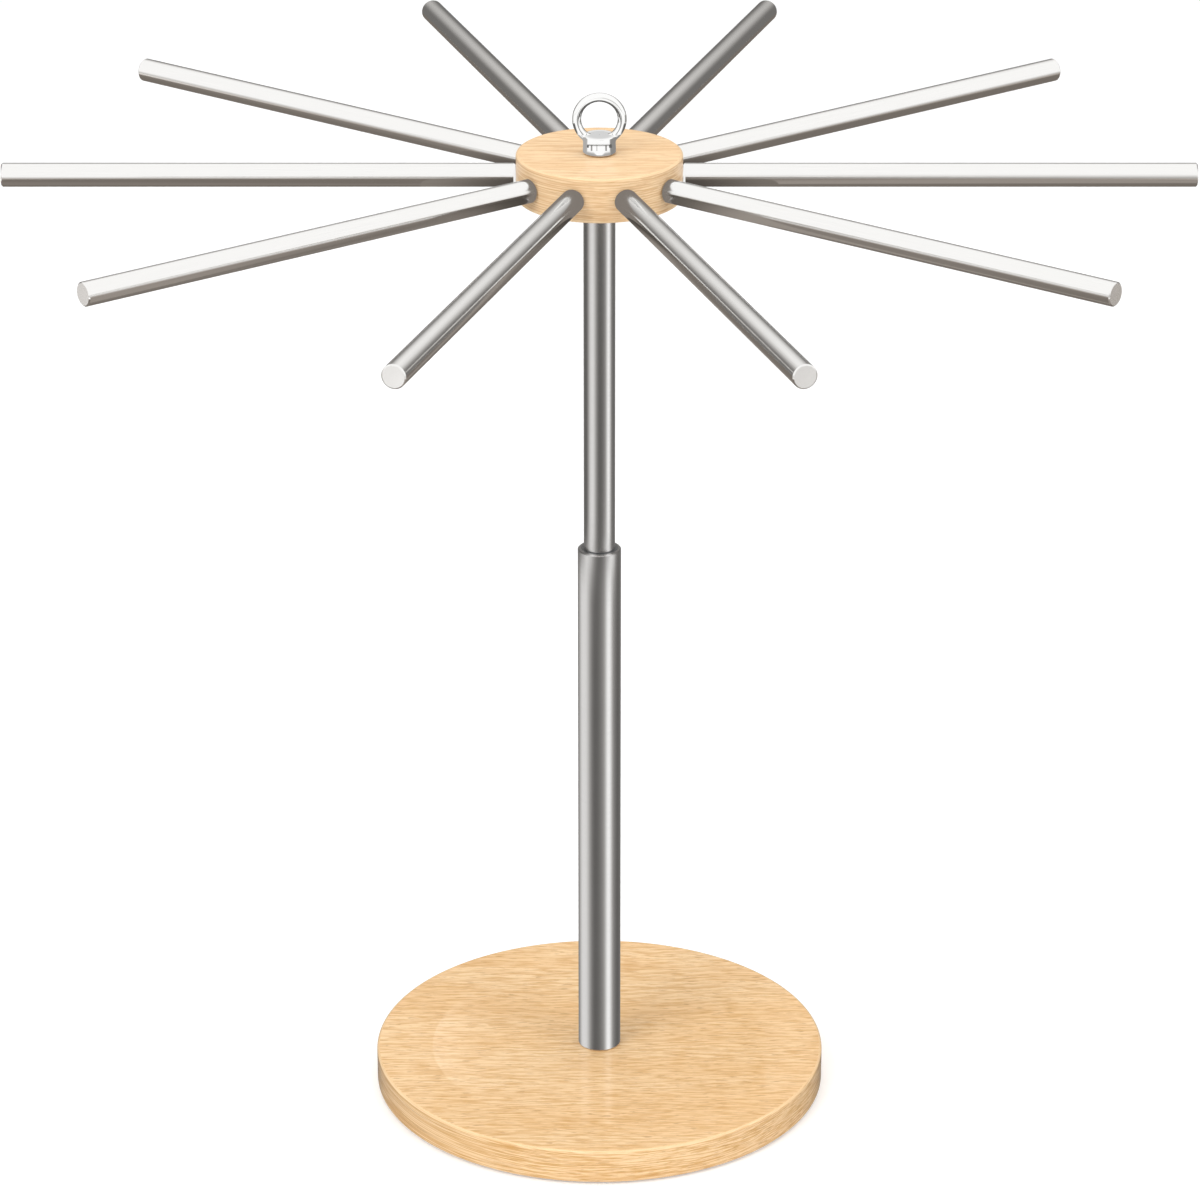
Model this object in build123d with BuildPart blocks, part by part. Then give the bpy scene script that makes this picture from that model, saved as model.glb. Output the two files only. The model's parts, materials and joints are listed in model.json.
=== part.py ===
from build123d import *
import os

# Drying rack: an oak base, a steel pole in two screwed halves, an oak hub that turns on a bush,
# ten steel rods screwed into the hub's rim, and an eye nut that holds the hub and carries the rack.
# Millimetres, +Z up. The origin is on the table under the centre of the base, +X is along rod_01.

# Base board
base_d = 160.0
base_thickness = 12.3
base_top_round = 1.0
base_bottom_round = 0.8
base_bore_clearance = 0.25
counterbore_d = 18.0
counterbore_depth = 6.0
counterbore_chamfer = 0.5

# Anti-slip feet, glued into shallow recesses under the board
foot_count = 4
foot_d = 14.0
foot_thickness = 1.8
foot_edge_chamfer = 0.3
foot_edge_distance = 15.0
foot_recess_depth = 1.0
foot_recess_clearance = 0.15

# Screw and washer under the board
screw_d = 6.0
screw_head_d = 10.5
screw_head_height = 3.3
screw_head_round = 1.2
screw_tip_chamfer = 0.6
screw_grip = 10.0
hex_key_flats = 4.0
hex_key_depth = 2.0
washer_d = 14.0
washer_thickness = 1.4
washer_edge_chamfer = 0.2

# Pole, from the board up
lower_tube_d = 15.0
lower_tube_wall = 1.2
lower_tube_length = 193.0
lower_tube_foot_chamfer = 0.5
lower_tube_rim_chamfer = 0.4
upper_tube_d = 10.8
upper_tube_wall = 1.0
upper_tube_length = 127.0
upper_tube_edge_chamfer = 0.3
plug_gap = 0.03
plug_length = 14.0
plug_edge_chamfer = 0.3
thread_bottom_room = 1.0

# Studs: the pole's joint, and the one that carries the hub and the eye nut
stud_d = 5.0
stud_grip = 9.0
stud_tip_chamfer = 0.5
thread_gap = 0.05

# Hub and what it turns on
hub_d = 56.0
hub_thickness = 15.4
hub_edge_round = 0.9
hub_play = 0.3
bush_d = 8.0
bush_edge_chamfer = 0.2
running_gap = 0.05
thrust_washer_thickness = 0.6

# Rods, each with a threaded tenon that screws into the hub up to the rod's shoulder
rod_count = 10
rod_span = 400.0
rod_d = 8.0
rod_tip_chamfer = 0.4
rod_shoulder_chamfer = 0.6
rod_shoulder_gap = 0.1
tenon_d = 5.0
tenon_length = 10.0
tenon_tip_chamfer = 0.5

# Eye nut
collar_d = 11.1
collar_top_d = 10.7
collar_height = 6.2
collar_foot_round = 0.5
collar_shoulder_round = 0.55
eye_d = 18.2
eye_section_d = 3.0
eye_centre_height = 11.5
eye_blend_round = 0.5
eye_thread_depth = 5.0
eye_thread_room = 0.4

# Every cut runs past its face by this much
overrun = 2.0

# Two radii that differ by less than this are one radius
same_radius = 0.001

# Levels above the table
board_bottom = foot_thickness - foot_recess_depth
board_top = board_bottom + base_thickness
seam = board_top + lower_tube_length
pole_top = seam + upper_tube_length
hub_bottom = pole_top + thrust_washer_thickness
rod_level = hub_bottom + hub_thickness / 2
hub_top = hub_bottom + hub_thickness
nut_seat = hub_top + hub_play

os.makedirs("parts", exist_ok=True)


def save(piece, label):
    """Label a finished piece and write it under that name."""
    piece.part.label = label
    export_step(piece.part, f"parts/{label}.step")


def rims(part, level, radius):
    """The round edges of a part at one height and one radius."""
    flat = part.edges().filter_by(GeomType.CIRCLE).filter_by_position(Axis.Z, level, level)
    return [edge for edge in flat if abs(edge.radius - radius) < same_radius]


def tube(outside_d, wall, foot, length, foot_chamfer, rim_chamfer):
    """An open steel tube with its outer edges broken at both ends."""
    with BuildPart() as pipe:
        with BuildSketch(Plane.XY.offset(foot)):
            Circle(outside_d / 2)
            Circle(outside_d / 2 - wall, mode=Mode.SUBTRACT)
        extrude(amount=length)
        chamfer(rims(pipe.part, foot, outside_d / 2), length=foot_chamfer)
        chamfer(rims(pipe.part, foot + length, outside_d / 2), length=rim_chamfer)
    return pipe


def plug(tube_d, wall, level, up, thread_d, thread_depth):
    """A steel plug pressed flush into a tube's end, with a blind thread hole in its outer face.

    level is the tube's end, up says whether that end is the tube's top.
    """
    into_tube = -1 if up else 1
    radius = tube_d / 2 - wall - plug_gap
    with BuildPart() as body:
        with BuildSketch(Plane.XY.offset(level)):
            Circle(radius)
        extrude(amount=into_tube * plug_length)
        chamfer(rims(body.part, level + into_tube * plug_length, radius), length=plug_edge_chamfer)
        with BuildSketch(Plane.XY.offset(level)):
            Circle(thread_d / 2 + thread_gap)
        extrude(amount=into_tube * thread_depth, mode=Mode.SUBTRACT)
    return body


def stud(foot, length):
    """A threaded stud with chamfered ends."""
    with BuildPart() as rod:
        with BuildSketch(Plane.XY.offset(foot)):
            Circle(stud_d / 2)
        extrude(amount=length)
        chamfer(rod.edges().filter_by(GeomType.CIRCLE), length=stud_tip_chamfer)
    return rod


# Base board, bored for the screw, counterbored and recessed from below
foot_radius = foot_d / 2
foot_circle = base_d / 2 - foot_edge_distance
screw_bore_radius = screw_d / 2 + base_bore_clearance

with BuildPart() as base_disc:
    with BuildSketch(Plane.XY.offset(board_bottom)):
        Circle(base_d / 2)
    extrude(amount=base_thickness)
    fillet(rims(base_disc.part, board_top, base_d / 2), radius=base_top_round)
    fillet(rims(base_disc.part, board_bottom, base_d / 2), radius=base_bottom_round)
    with BuildSketch(Plane.XY.offset(board_bottom - overrun)):
        Circle(screw_bore_radius)
    extrude(amount=base_thickness + 2 * overrun, mode=Mode.SUBTRACT)
    with BuildSketch(Plane.XY.offset(board_bottom)):
        Circle(counterbore_d / 2)
    extrude(amount=counterbore_depth, mode=Mode.SUBTRACT)
    chamfer(rims(base_disc.part, board_bottom, counterbore_d / 2), length=counterbore_chamfer)
    with BuildSketch(Plane.XY.offset(board_bottom)):
        with PolarLocations(foot_circle, foot_count, start_angle=180 / foot_count):
            Circle(foot_radius + foot_recess_clearance)
    extrude(amount=foot_recess_depth, mode=Mode.SUBTRACT)
save(base_disc, "base_disc")

# Feet
for index, place in enumerate(PolarLocations(foot_circle, foot_count, start_angle=180 / foot_count)):
    with BuildPart() as base_foot:
        with BuildSketch(Plane(place)):
            Circle(foot_radius)
        extrude(amount=foot_thickness)
        chamfer(rims(base_foot.part, 0, foot_radius), length=foot_edge_chamfer)
    save(base_foot, f"base_foot_{index + 1}")

# Screw and washer under the board
washer_top = board_bottom + counterbore_depth
washer_bottom = washer_top - washer_thickness
screw_tip = board_top + screw_grip
head_bottom = washer_bottom - screw_head_height

with BuildPart() as base_screw:
    with BuildSketch(Plane.XY.offset(head_bottom)):
        Circle(screw_head_d / 2)
    extrude(amount=screw_head_height)
    fillet(rims(base_screw.part, head_bottom, screw_head_d / 2), radius=screw_head_round)
    with BuildSketch(Plane.XY.offset(washer_bottom)):
        Circle(screw_d / 2)
    extrude(amount=screw_tip - washer_bottom)
    chamfer(rims(base_screw.part, screw_tip, screw_d / 2), length=screw_tip_chamfer)
    with BuildSketch(Plane.XY.offset(head_bottom)):
        RegularPolygon(hex_key_flats / 2, 6, major_radius=False)
    extrude(amount=hex_key_depth, mode=Mode.SUBTRACT)
save(base_screw, "base_screw")

with BuildPart() as base_washer:
    with BuildSketch(Plane.XY.offset(washer_bottom)):
        Circle(washer_d / 2)
        Circle(screw_bore_radius, mode=Mode.SUBTRACT)
    extrude(amount=washer_thickness)
    chamfer(rims(base_washer.part, washer_bottom, washer_d / 2), length=washer_edge_chamfer)
save(base_washer, "base_washer")

# Pole: two tubes, each with a threaded plug in either end, and the stud that joins them
lower_tube = tube(
    lower_tube_d, lower_tube_wall, board_top, lower_tube_length,
    foot_chamfer=lower_tube_foot_chamfer, rim_chamfer=lower_tube_rim_chamfer,
)
upper_tube = tube(
    upper_tube_d, upper_tube_wall, seam, upper_tube_length,
    foot_chamfer=upper_tube_edge_chamfer, rim_chamfer=upper_tube_edge_chamfer,
)
save(lower_tube, "lower_tube")
save(upper_tube, "upper_tube")

screw_hole_depth = screw_grip + thread_bottom_room
stud_hole_depth = stud_grip + thread_bottom_room
lower_foot_plug = plug(lower_tube_d, lower_tube_wall, board_top, False, screw_d, screw_hole_depth)
lower_top_plug = plug(lower_tube_d, lower_tube_wall, seam, True, stud_d, stud_hole_depth)
upper_foot_plug = plug(upper_tube_d, upper_tube_wall, seam, False, stud_d, stud_hole_depth)
upper_top_plug = plug(upper_tube_d, upper_tube_wall, pole_top, True, stud_d, stud_hole_depth)
save(lower_foot_plug, "lower_tube_bottom_plug")
save(lower_top_plug, "lower_tube_top_plug")
save(upper_foot_plug, "upper_tube_bottom_plug")
save(upper_top_plug, "upper_tube_top_plug")

joint_stud = stud(seam - stud_grip, 2 * stud_grip)
top_stud = stud(pole_top - stud_grip, stud_grip + nut_seat - pole_top + eye_thread_depth)
save(joint_stud, "joint_stud")
save(top_stud, "top_stud")

# Spacer bush: the eye nut is tightened against its top, so the hub stays free to turn round it
with BuildPart() as hub_bush:
    with BuildSketch(Plane.XY.offset(pole_top)):
        Circle(bush_d / 2)
        Circle(stud_d / 2 + thread_gap, mode=Mode.SUBTRACT)
    extrude(amount=nut_seat - pole_top)
    chamfer(rims(hub_bush.part, nut_seat, bush_d / 2), length=bush_edge_chamfer)
save(hub_bush, "hub_bush")

with BuildPart() as thrust_washer:
    with BuildSketch(Plane.XY.offset(pole_top)):
        Circle(upper_tube_d / 2)
        Circle(bush_d / 2 + running_gap, mode=Mode.SUBTRACT)
    extrude(amount=thrust_washer_thickness)
save(thrust_washer, "thrust_washer")

# Hub, with a blind hole in its rim for each rod's tenon
rod_shoulder = hub_d / 2 + rod_shoulder_gap
tenon_tip = rod_shoulder - tenon_length
hole_floor = tenon_tip - thread_bottom_room
rod_angle = 360 / rod_count


def rod_plane(number, radius):
    """The plane across one rod's axis at a distance from the pole's, its normal pointing outward."""
    along = Vector(1, 0, 0).rotate(Axis.Z, number * rod_angle)
    return Plane(origin=along * radius + Vector(0, 0, rod_level), x_dir=(0, 0, 1), z_dir=along)


with BuildPart() as hub:
    with BuildSketch(Plane.XY.offset(hub_bottom)):
        Circle(hub_d / 2)
    extrude(amount=hub_thickness)
    fillet(rims(hub.part, hub_top, hub_d / 2), radius=hub_edge_round)
    fillet(rims(hub.part, hub_bottom, hub_d / 2), radius=hub_edge_round)
    with BuildSketch(Plane.XY.offset(hub_bottom - overrun)):
        Circle(bush_d / 2 + running_gap)
    extrude(amount=hub_thickness + 2 * overrun, mode=Mode.SUBTRACT)
    for number in range(rod_count):
        with BuildSketch(rod_plane(number, hole_floor)):
            Circle(tenon_d / 2 + thread_gap)
        extrude(amount=hub_d / 2 - hole_floor + overrun, mode=Mode.SUBTRACT)
save(hub, "hub")

# Rods
for number in range(rod_count):
    with BuildPart() as drying_rod:
        with BuildSketch(rod_plane(number, rod_shoulder)):
            Circle(rod_d / 2)
        extrude(amount=rod_span / 2 - rod_shoulder)
        ends = drying_rod.edges().filter_by(GeomType.CIRCLE).sort_by_distance((0, 0, rod_level))
        chamfer(ends[0], length=rod_shoulder_chamfer)
        chamfer(ends[-1], length=rod_tip_chamfer)
        with BuildSketch(rod_plane(number, tenon_tip)):
            Circle(tenon_d / 2)
        extrude(amount=tenon_length)
        tenon_ends = drying_rod.edges().filter_by(GeomType.CIRCLE).sort_by_distance((0, 0, rod_level))
        chamfer(tenon_ends[0], length=tenon_tip_chamfer)
    save(drying_rod, f"rod_{number + 1:02d}")

# Eye nut: a turned collar with a blind thread, and a ring that grows out of its shoulder
eye_radius = (eye_d - eye_section_d) / 2
eye_centre = nut_seat + eye_centre_height
collar_top = nut_seat + collar_height

with BuildPart() as eye_nut:
    with BuildSketch(Plane.XZ):
        with BuildLine():
            Polyline(
                (0, nut_seat),
                (collar_d / 2, nut_seat),
                (collar_top_d / 2, collar_top),
                (0, collar_top),
                close=True,
            )
        make_face()
    revolve(axis=Axis.Z)
    fillet(rims(eye_nut.part, nut_seat, collar_d / 2), radius=collar_foot_round)
    fillet(rims(eye_nut.part, collar_top, collar_top_d / 2), radius=collar_shoulder_round)
    with BuildSketch(Plane.XY.offset(eye_centre)):
        with Locations((eye_radius, 0)):
            Circle(eye_section_d / 2)
    revolve(axis=Axis((0, 0, eye_centre), (0, 1, 0)))
    blend = [edge for edge in eye_nut.edges() if edge.geom_type == GeomType.BSPLINE]
    fillet(blend, radius=eye_blend_round)
    with BuildSketch(Plane.XY.offset(nut_seat)):
        Circle(stud_d / 2 + thread_gap)
    extrude(amount=eye_thread_depth + eye_thread_room, mode=Mode.SUBTRACT)
save(eye_nut, "eye_nut")
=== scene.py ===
import json
import logging
import math
from collections.abc import Sequence
from dataclasses import dataclass
from enum import Enum
from typing import Any

import bmesh
import bpy
import numpy as np
from bpy.types import ID, Material, Mesh, Node, NodeSocket, NodeTree, Object
from mathutils import Matrix, Vector

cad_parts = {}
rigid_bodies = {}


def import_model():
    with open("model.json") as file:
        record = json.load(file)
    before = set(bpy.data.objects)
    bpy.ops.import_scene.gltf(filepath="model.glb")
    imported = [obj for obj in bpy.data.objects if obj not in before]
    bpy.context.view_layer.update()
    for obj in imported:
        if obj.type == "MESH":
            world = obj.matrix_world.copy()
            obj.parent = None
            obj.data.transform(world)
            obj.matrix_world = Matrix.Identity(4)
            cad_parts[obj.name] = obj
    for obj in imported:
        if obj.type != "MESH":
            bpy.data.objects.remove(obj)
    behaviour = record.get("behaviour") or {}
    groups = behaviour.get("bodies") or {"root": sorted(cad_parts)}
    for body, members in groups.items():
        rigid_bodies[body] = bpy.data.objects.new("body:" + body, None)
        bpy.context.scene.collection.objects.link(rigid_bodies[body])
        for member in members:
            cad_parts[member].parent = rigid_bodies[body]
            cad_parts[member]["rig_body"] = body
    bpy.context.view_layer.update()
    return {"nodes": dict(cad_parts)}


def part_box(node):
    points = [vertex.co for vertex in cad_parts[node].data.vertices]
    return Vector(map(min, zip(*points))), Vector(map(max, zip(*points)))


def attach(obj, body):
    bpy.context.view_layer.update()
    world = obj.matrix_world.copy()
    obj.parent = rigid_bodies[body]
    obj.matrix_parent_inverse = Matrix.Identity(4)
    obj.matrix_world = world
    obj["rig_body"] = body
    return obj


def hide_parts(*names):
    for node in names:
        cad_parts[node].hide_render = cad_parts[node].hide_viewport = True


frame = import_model()

# Drying rack: an oak base and hub, a satin steel pole in two halves, ten steel rods and an eye nut.
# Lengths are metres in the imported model's frame: the origin is on the table under the pole, +Z is up,
# +X runs along rod_01 and the camera stands on the -Y side. Angles are degrees where a name says so.

Colour = tuple[float, float, float, float]
Triple = tuple[float, float, float]
Pair = tuple[float, float]
Array = np.ndarray

MM = 0.001

ARC_STEPS = 8
SHARP_ABOVE_DEG = 32.0
WELD_WITHIN = 1.0e-7
THREAD_DEPTH_SHARE = 0.61
THREAD_STEPS = 8
SEARCH_ROUNDS = 8
FACED_BELOW_SLOPE = 0.02
LEAST_SLOPE_SQUARE = 0.05

log = logging.getLogger("drying_rack")


def paint(red: int, green: int, blue: int) -> Colour:
    """Turn a screen colour into the linear colour that a shader takes.

    Each channel c of 0 to 255 becomes ((c / 255 + 0.055) / 1.055) to the power 2.4.

    Args:
        red, green, blue: The colour's channels, 0 to 255.

    Returns:
        The linear colour, with an alpha of 1.
    """
    share = np.array((red, green, blue)) / 255
    linear = np.where(share > 0.04045, ((share + 0.055) / 1.055) ** 2.4, share / 12.92)
    return (*linear.tolist(), 1.0)


def grey(level: float) -> Colour:
    """Return a neutral linear colour of one level."""
    return (level, level, level, 1.0)


# Turned pieces


@dataclass(frozen=True)
class Corner:
    """One corner of a turned outline.

    out is its distance from the axis, up its place along the axis, ease the radius that rounds it,
    and six_sided says that a hexagon of that half width takes the circle's place there.
    """

    out: float
    up: float
    ease: float = 0.0
    six_sided: bool = False


def path(*rows: Sequence[float]) -> list[Corner]:
    """Make an outline's corners from rows of out, up and, where they have them, ease and six_sided."""
    return [Corner(*row) for row in rows]


@dataclass(frozen=True)
class Thread:
    """A right-hand thread cut between two places on the axis, its groove stretched and then narrowed."""

    low: float
    high: float
    pitch: float
    stretch: float = 1.35
    narrowing: float = 0.2

    def cut(self, up: Array, turn: Array) -> Array:
        """Work out how deep the thread goes.

        The groove is a V with flat crests: its share of the full depth is one minus the distance from
        the groove's middle, in half pitches, stretched a little and clipped to 0 and 1. The groove's
        middle climbs one pitch a turn. The depth fades out over one pitch at both ends.

        Args:
            up: Places along the axis.
            turn: Angles round the axis, in turns, of a shape that goes with up.

        Returns:
            The depth at each point.
        """
        phase = np.mod(up / self.pitch - turn, 1.0)
        groove = np.clip(self.stretch * (1 - np.abs(2 * phase - 1)) - self.narrowing, 0, 1)
        fade = np.clip(np.minimum(up - self.low, self.high - up) / self.pitch, 0, 1)
        return THREAD_DEPTH_SHARE * self.pitch * groove * fade


@dataclass(frozen=True)
class Turned:
    """A turned solid: an outline of corners carried round an axis.

    A hollow outline closes on itself. The other kind starts and ends on the axis. It runs with the
    solid on its left, so that the faces point outwards.
    """

    corners: Sequence[Corner]
    hollow: bool = False
    columns: int = 128
    thread: Thread | None = None

    def eased_corner(self, index: int) -> Array:
        """Round one corner of the outline.

        The arc's centre lies ease / cos(half the turn) from the corner, on its bisector, so the arc
        leaves both runs at ease * tan(half the turn). One more point stands on each run beside the
        arc, to keep the flat's shading flat.

        Args:
            index: The corner's place in the list.

        Returns:
            Rows of distance from the axis, place along it, how rounded (0 to 1) and how six-sided.
        """
        corner = self.corners[index]
        here = np.array((corner.out, corner.up))
        ends_here = not self.hollow and index in (0, len(self.corners) - 1)
        if corner.ease == 0 or ends_here:
            return np.array([(corner.out, corner.up, 0.0, float(corner.six_sided))])
        before = self.corners[index - 1]
        after = self.corners[(index + 1) % len(self.corners)]
        into = here - (before.out, before.up)
        away = np.array((after.out, after.up)) - here
        into, away = into / np.linalg.norm(into), away / np.linalg.norm(away)
        turn = math.atan2(into[0] * away[1] - into[1] * away[0], float(into @ away))
        side = math.copysign(1.0, turn)
        reach = corner.ease * math.tan(abs(turn) / 2)
        centre = here - reach * into - side * corner.ease * np.array((into[1], -into[0]))
        share = np.linspace(0, 1, ARC_STEPS + 1)
        angle = math.atan2(-into[0], into[1]) + turn * share
        arc = centre + side * corner.ease * np.column_stack((np.cos(angle), np.sin(angle)))
        margin = reach / 2
        curve = np.vstack((arc[0] - margin * into, arc, arc[-1] + margin * away))
        rounded = np.concatenate(((0.0,), np.sin(math.pi * share), (0.0,)))
        return np.column_stack((curve, rounded, np.full(len(curve), float(corner.six_sided))))

    def outline(self) -> Array:
        """Lay out the rings of the solid.

        Runs inside the thread's stretch are divided into equal steps of an eighth of the pitch.

        Returns:
            Rows of distance from the axis, place along it, how rounded, how six-sided and how much of
            an end face (0 or 1).
        """
        rows = np.vstack([self.eased_corner(index) for index in range(len(self.corners))])
        if self.thread:
            low, high, step = self.thread.low, self.thread.high, self.thread.pitch / THREAD_STEPS
            runs = []
            for start, end in zip(rows[:-1], rows[1:]):
                inside = low - step < min(start[1], end[1]) and max(start[1], end[1]) < high + step
                count = max(1, math.ceil(abs(end[1] - start[1]) / step)) if inside else 1
                share = np.arange(count)[:, None] / count
                runs.append(start + share * (end - start))
            rows = np.vstack((*runs, rows[-1:]))
        run = np.roll(rows[:, :2], -1, axis=0) - rows[:, :2]
        facing = np.abs(run[:, 1]) < FACED_BELOW_SLOPE * np.abs(run[:, 0])
        faced = facing & np.roll(facing, 1)
        if not self.hollow:
            faced[0], faced[-1] = facing[0], facing[-2]
        return np.column_stack((rows, faced.astype(float)))

    def mesh(self, name: str, stand: Matrix = Matrix.Identity(4)) -> Mesh:
        """Carry the outline round the axis.

        A point at angle a and distance r from the axis lies at (r cos a, r sin a, up). Where the ring
        is six-sided, r is divided by the cosine of the angle to the nearest flat's middle. The
        thread's depth is taken off r.

        Args:
            name: The mesh's name.
            stand: Where the solid's own axis, its Z, stands in the frame: on the pole's if left out.

        Returns:
            A closed mesh with the attributes turning (the place before it was stood up), eased and
            faced.
        """
        rows = self.outline()
        turn = np.arange(self.columns)[None, :] / self.columns
        angle = 2 * math.pi * turn
        out, up, rounded, sided, faced = (rows[:, column, None] for column in range(rows.shape[1]))
        to_flat = np.mod(angle + math.pi / 6, math.pi / 3) - math.pi / 6
        reach = out * (1 + sided * (1 / np.cos(to_flat) - 1))
        if self.thread:
            reach = reach - self.thread.cut(up, turn)
        grid = np.stack((reach * np.cos(angle), reach * np.sin(angle), up + 0 * angle), axis=-1)
        turned = np.array(stand.to_3x3()) @ grid.reshape(-1, 3).T
        in_place = (turned.T + np.array(stand.translation)).reshape(grid.shape)
        marks = {"eased": rounded + 0 * angle, "faced": faced + 0 * angle}
        return skin(name, in_place, self.hollow, {"turning": grid, **marks})


def skin(name: str, grid: Array, closes: bool, marks: dict[str, Array], wraps: bool = True) -> Mesh:
    """Cover a grid of points with quads.

    The quad at ring i and column j joins the points (i, j), (i, j+1), (i+1, j+1) and (i+1, j). Points
    that fall together, as on the axis, are welded.

    Args:
        name: The mesh's name.
        grid: Points by ring and column.
        closes: Whether the last ring joins the first.
        marks: Attributes by name, a number or a vector for each point of the grid.
        wraps: Whether the last column joins the first.

    Returns:
        The mesh, smooth but for its sharp corners.
    """
    rings, columns = grid.shape[:2]
    index = np.arange(rings * columns).reshape(rings, columns)
    low, high = (index, np.roll(index, -1, axis=0)) if closes else (index[:-1], index[1:])
    quads = np.stack((low, np.roll(low, -1, axis=1), np.roll(high, -1, axis=1), high), axis=-1)
    quads = quads if wraps else quads[:, :-1]
    mesh = bpy.data.meshes.new(name)
    mesh.from_pydata(grid.reshape(-1, 3), [], quads.reshape(-1, 4))
    for mark, values in marks.items():
        is_vector = values.ndim == grid.ndim
        attribute = mesh.attributes.new(mark, "FLOAT_VECTOR" if is_vector else "FLOAT", "POINT")
        attribute.data.foreach_set("vector" if is_vector else "value", values.astype(np.float32).ravel())
    edit = bmesh.new()
    edit.from_mesh(mesh)
    bmesh.ops.remove_doubles(edit, verts=edit.verts, dist=WELD_WITHIN)
    edit.to_mesh(mesh)
    edit.free()
    return smooth(mesh)


def smooth(mesh: Mesh) -> Mesh:
    """Shade a mesh smooth, except across its sharp corners."""
    mesh.shade_smooth()
    mesh.set_sharp_from_angle(angle=math.radians(SHARP_ABOVE_DEG))
    return mesh


def peg(radius: float, start: float, end: float, columns: int) -> Turned:
    """Return a plain peg from start to end on its axis, to cut a hole with."""
    return Turned(path((0, start), (radius, start), (radius, end), (0, end)), columns=columns)


def sleeve(name: str, node: str, bore: float, eases: Sequence[float], columns: int) -> Mesh:
    """Turn a plain sleeve that fills a node's box round the pole.

    Args:
        name: The mesh's name.
        node: The node, which gives the outer radius and the ends.
        bore: The bore's radius.
        eases: How far each corner is rounded: bore and outside below, outside and bore above.
        columns: How many columns go round it.

    Returns:
        The sleeve's mesh.
    """
    low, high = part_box(node)
    places = ((bore, low.z), (high.x, low.z), (high.x, high.z), (bore, high.z))
    corners = path(*((*place, ease) for place, ease in zip(places, eases)))
    return Turned(corners, hollow=True, columns=columns).mesh(name)


def upright(low: Vector, high: Vector) -> Matrix:
    """Stand an axis on the table in the middle of a box."""
    return Matrix.Translation(((low.x + high.x) / 2, (low.y + high.y) / 2, 0))


def outward(angle_deg: float, level: float) -> Matrix:
    """Lay an axis at a level above the table, pointing away from the pole, anticlockwise from +X."""
    turn = Matrix.Rotation(math.radians(angle_deg), 4, "Z") @ Matrix.Rotation(math.radians(90), 4, "Y")
    return Matrix.Translation((0, 0, level)) @ turn


def placed(name: str, data: ID) -> Object:
    """Put an object that holds some data into the scene and return it."""
    item = bpy.data.objects.new(name, data)
    bpy.context.scene.collection.objects.link(item)
    return item


def joined(name: str, meshes: Sequence[Mesh]) -> Mesh:
    """Copy meshes as they are into one mesh of that name and return it."""
    edit = bmesh.new()
    for mesh in meshes:
        edit.from_mesh(mesh)
    result = bpy.data.meshes.new(name)
    edit.to_mesh(result)
    edit.free()
    return result


def modified(mesh: Mesh, kind: str, **settings: Any) -> Mesh:
    """Run a mesh through one modifier.

    Args:
        mesh: The mesh, which stays as it is.
        kind: The modifier's type.
        settings: The modifier's settings.

    Returns:
        The new mesh.
    """
    piece = placed("in_work", mesh)
    modifier = piece.modifiers.new("work", kind)
    for name, value in settings.items():
        setattr(modifier, name, value)
    evaluated = piece.evaluated_get(bpy.context.evaluated_depsgraph_get())
    result = bpy.data.meshes.new_from_object(evaluated)
    bpy.data.objects.remove(piece)
    return result


def carve(name: str, mesh: Mesh, cutters: Sequence[Mesh]) -> Mesh:
    """Cut solids out of another.

    Args:
        name: The result's name.
        mesh: The solid that is cut.
        cutters: The solids that are taken out of it. They don't touch each other.

    Returns:
        The cut mesh.
    """
    holes = placed(f"{name}_holes", joined(f"{name}_holes", cutters))
    result = modified(mesh, "BOOLEAN", operation="DIFFERENCE", solver="EXACT", object=holes)
    result.name = name
    bpy.data.objects.remove(holes)
    return smooth(result)


def show(piece_name: str, node: str, mesh: Mesh, finish: Material) -> None:
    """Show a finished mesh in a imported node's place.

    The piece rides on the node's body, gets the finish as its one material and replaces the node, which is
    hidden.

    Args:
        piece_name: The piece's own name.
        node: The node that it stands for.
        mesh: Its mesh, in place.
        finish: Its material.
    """
    piece = placed(piece_name, mesh)
    mesh.materials.clear()
    mesh.materials.append(finish)
    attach(piece, frame["nodes"][node]["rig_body"])
    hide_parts(node)
    log.info("%s for %s: %d faces", piece_name, node, len(mesh.polygons))


# Shader net


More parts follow.
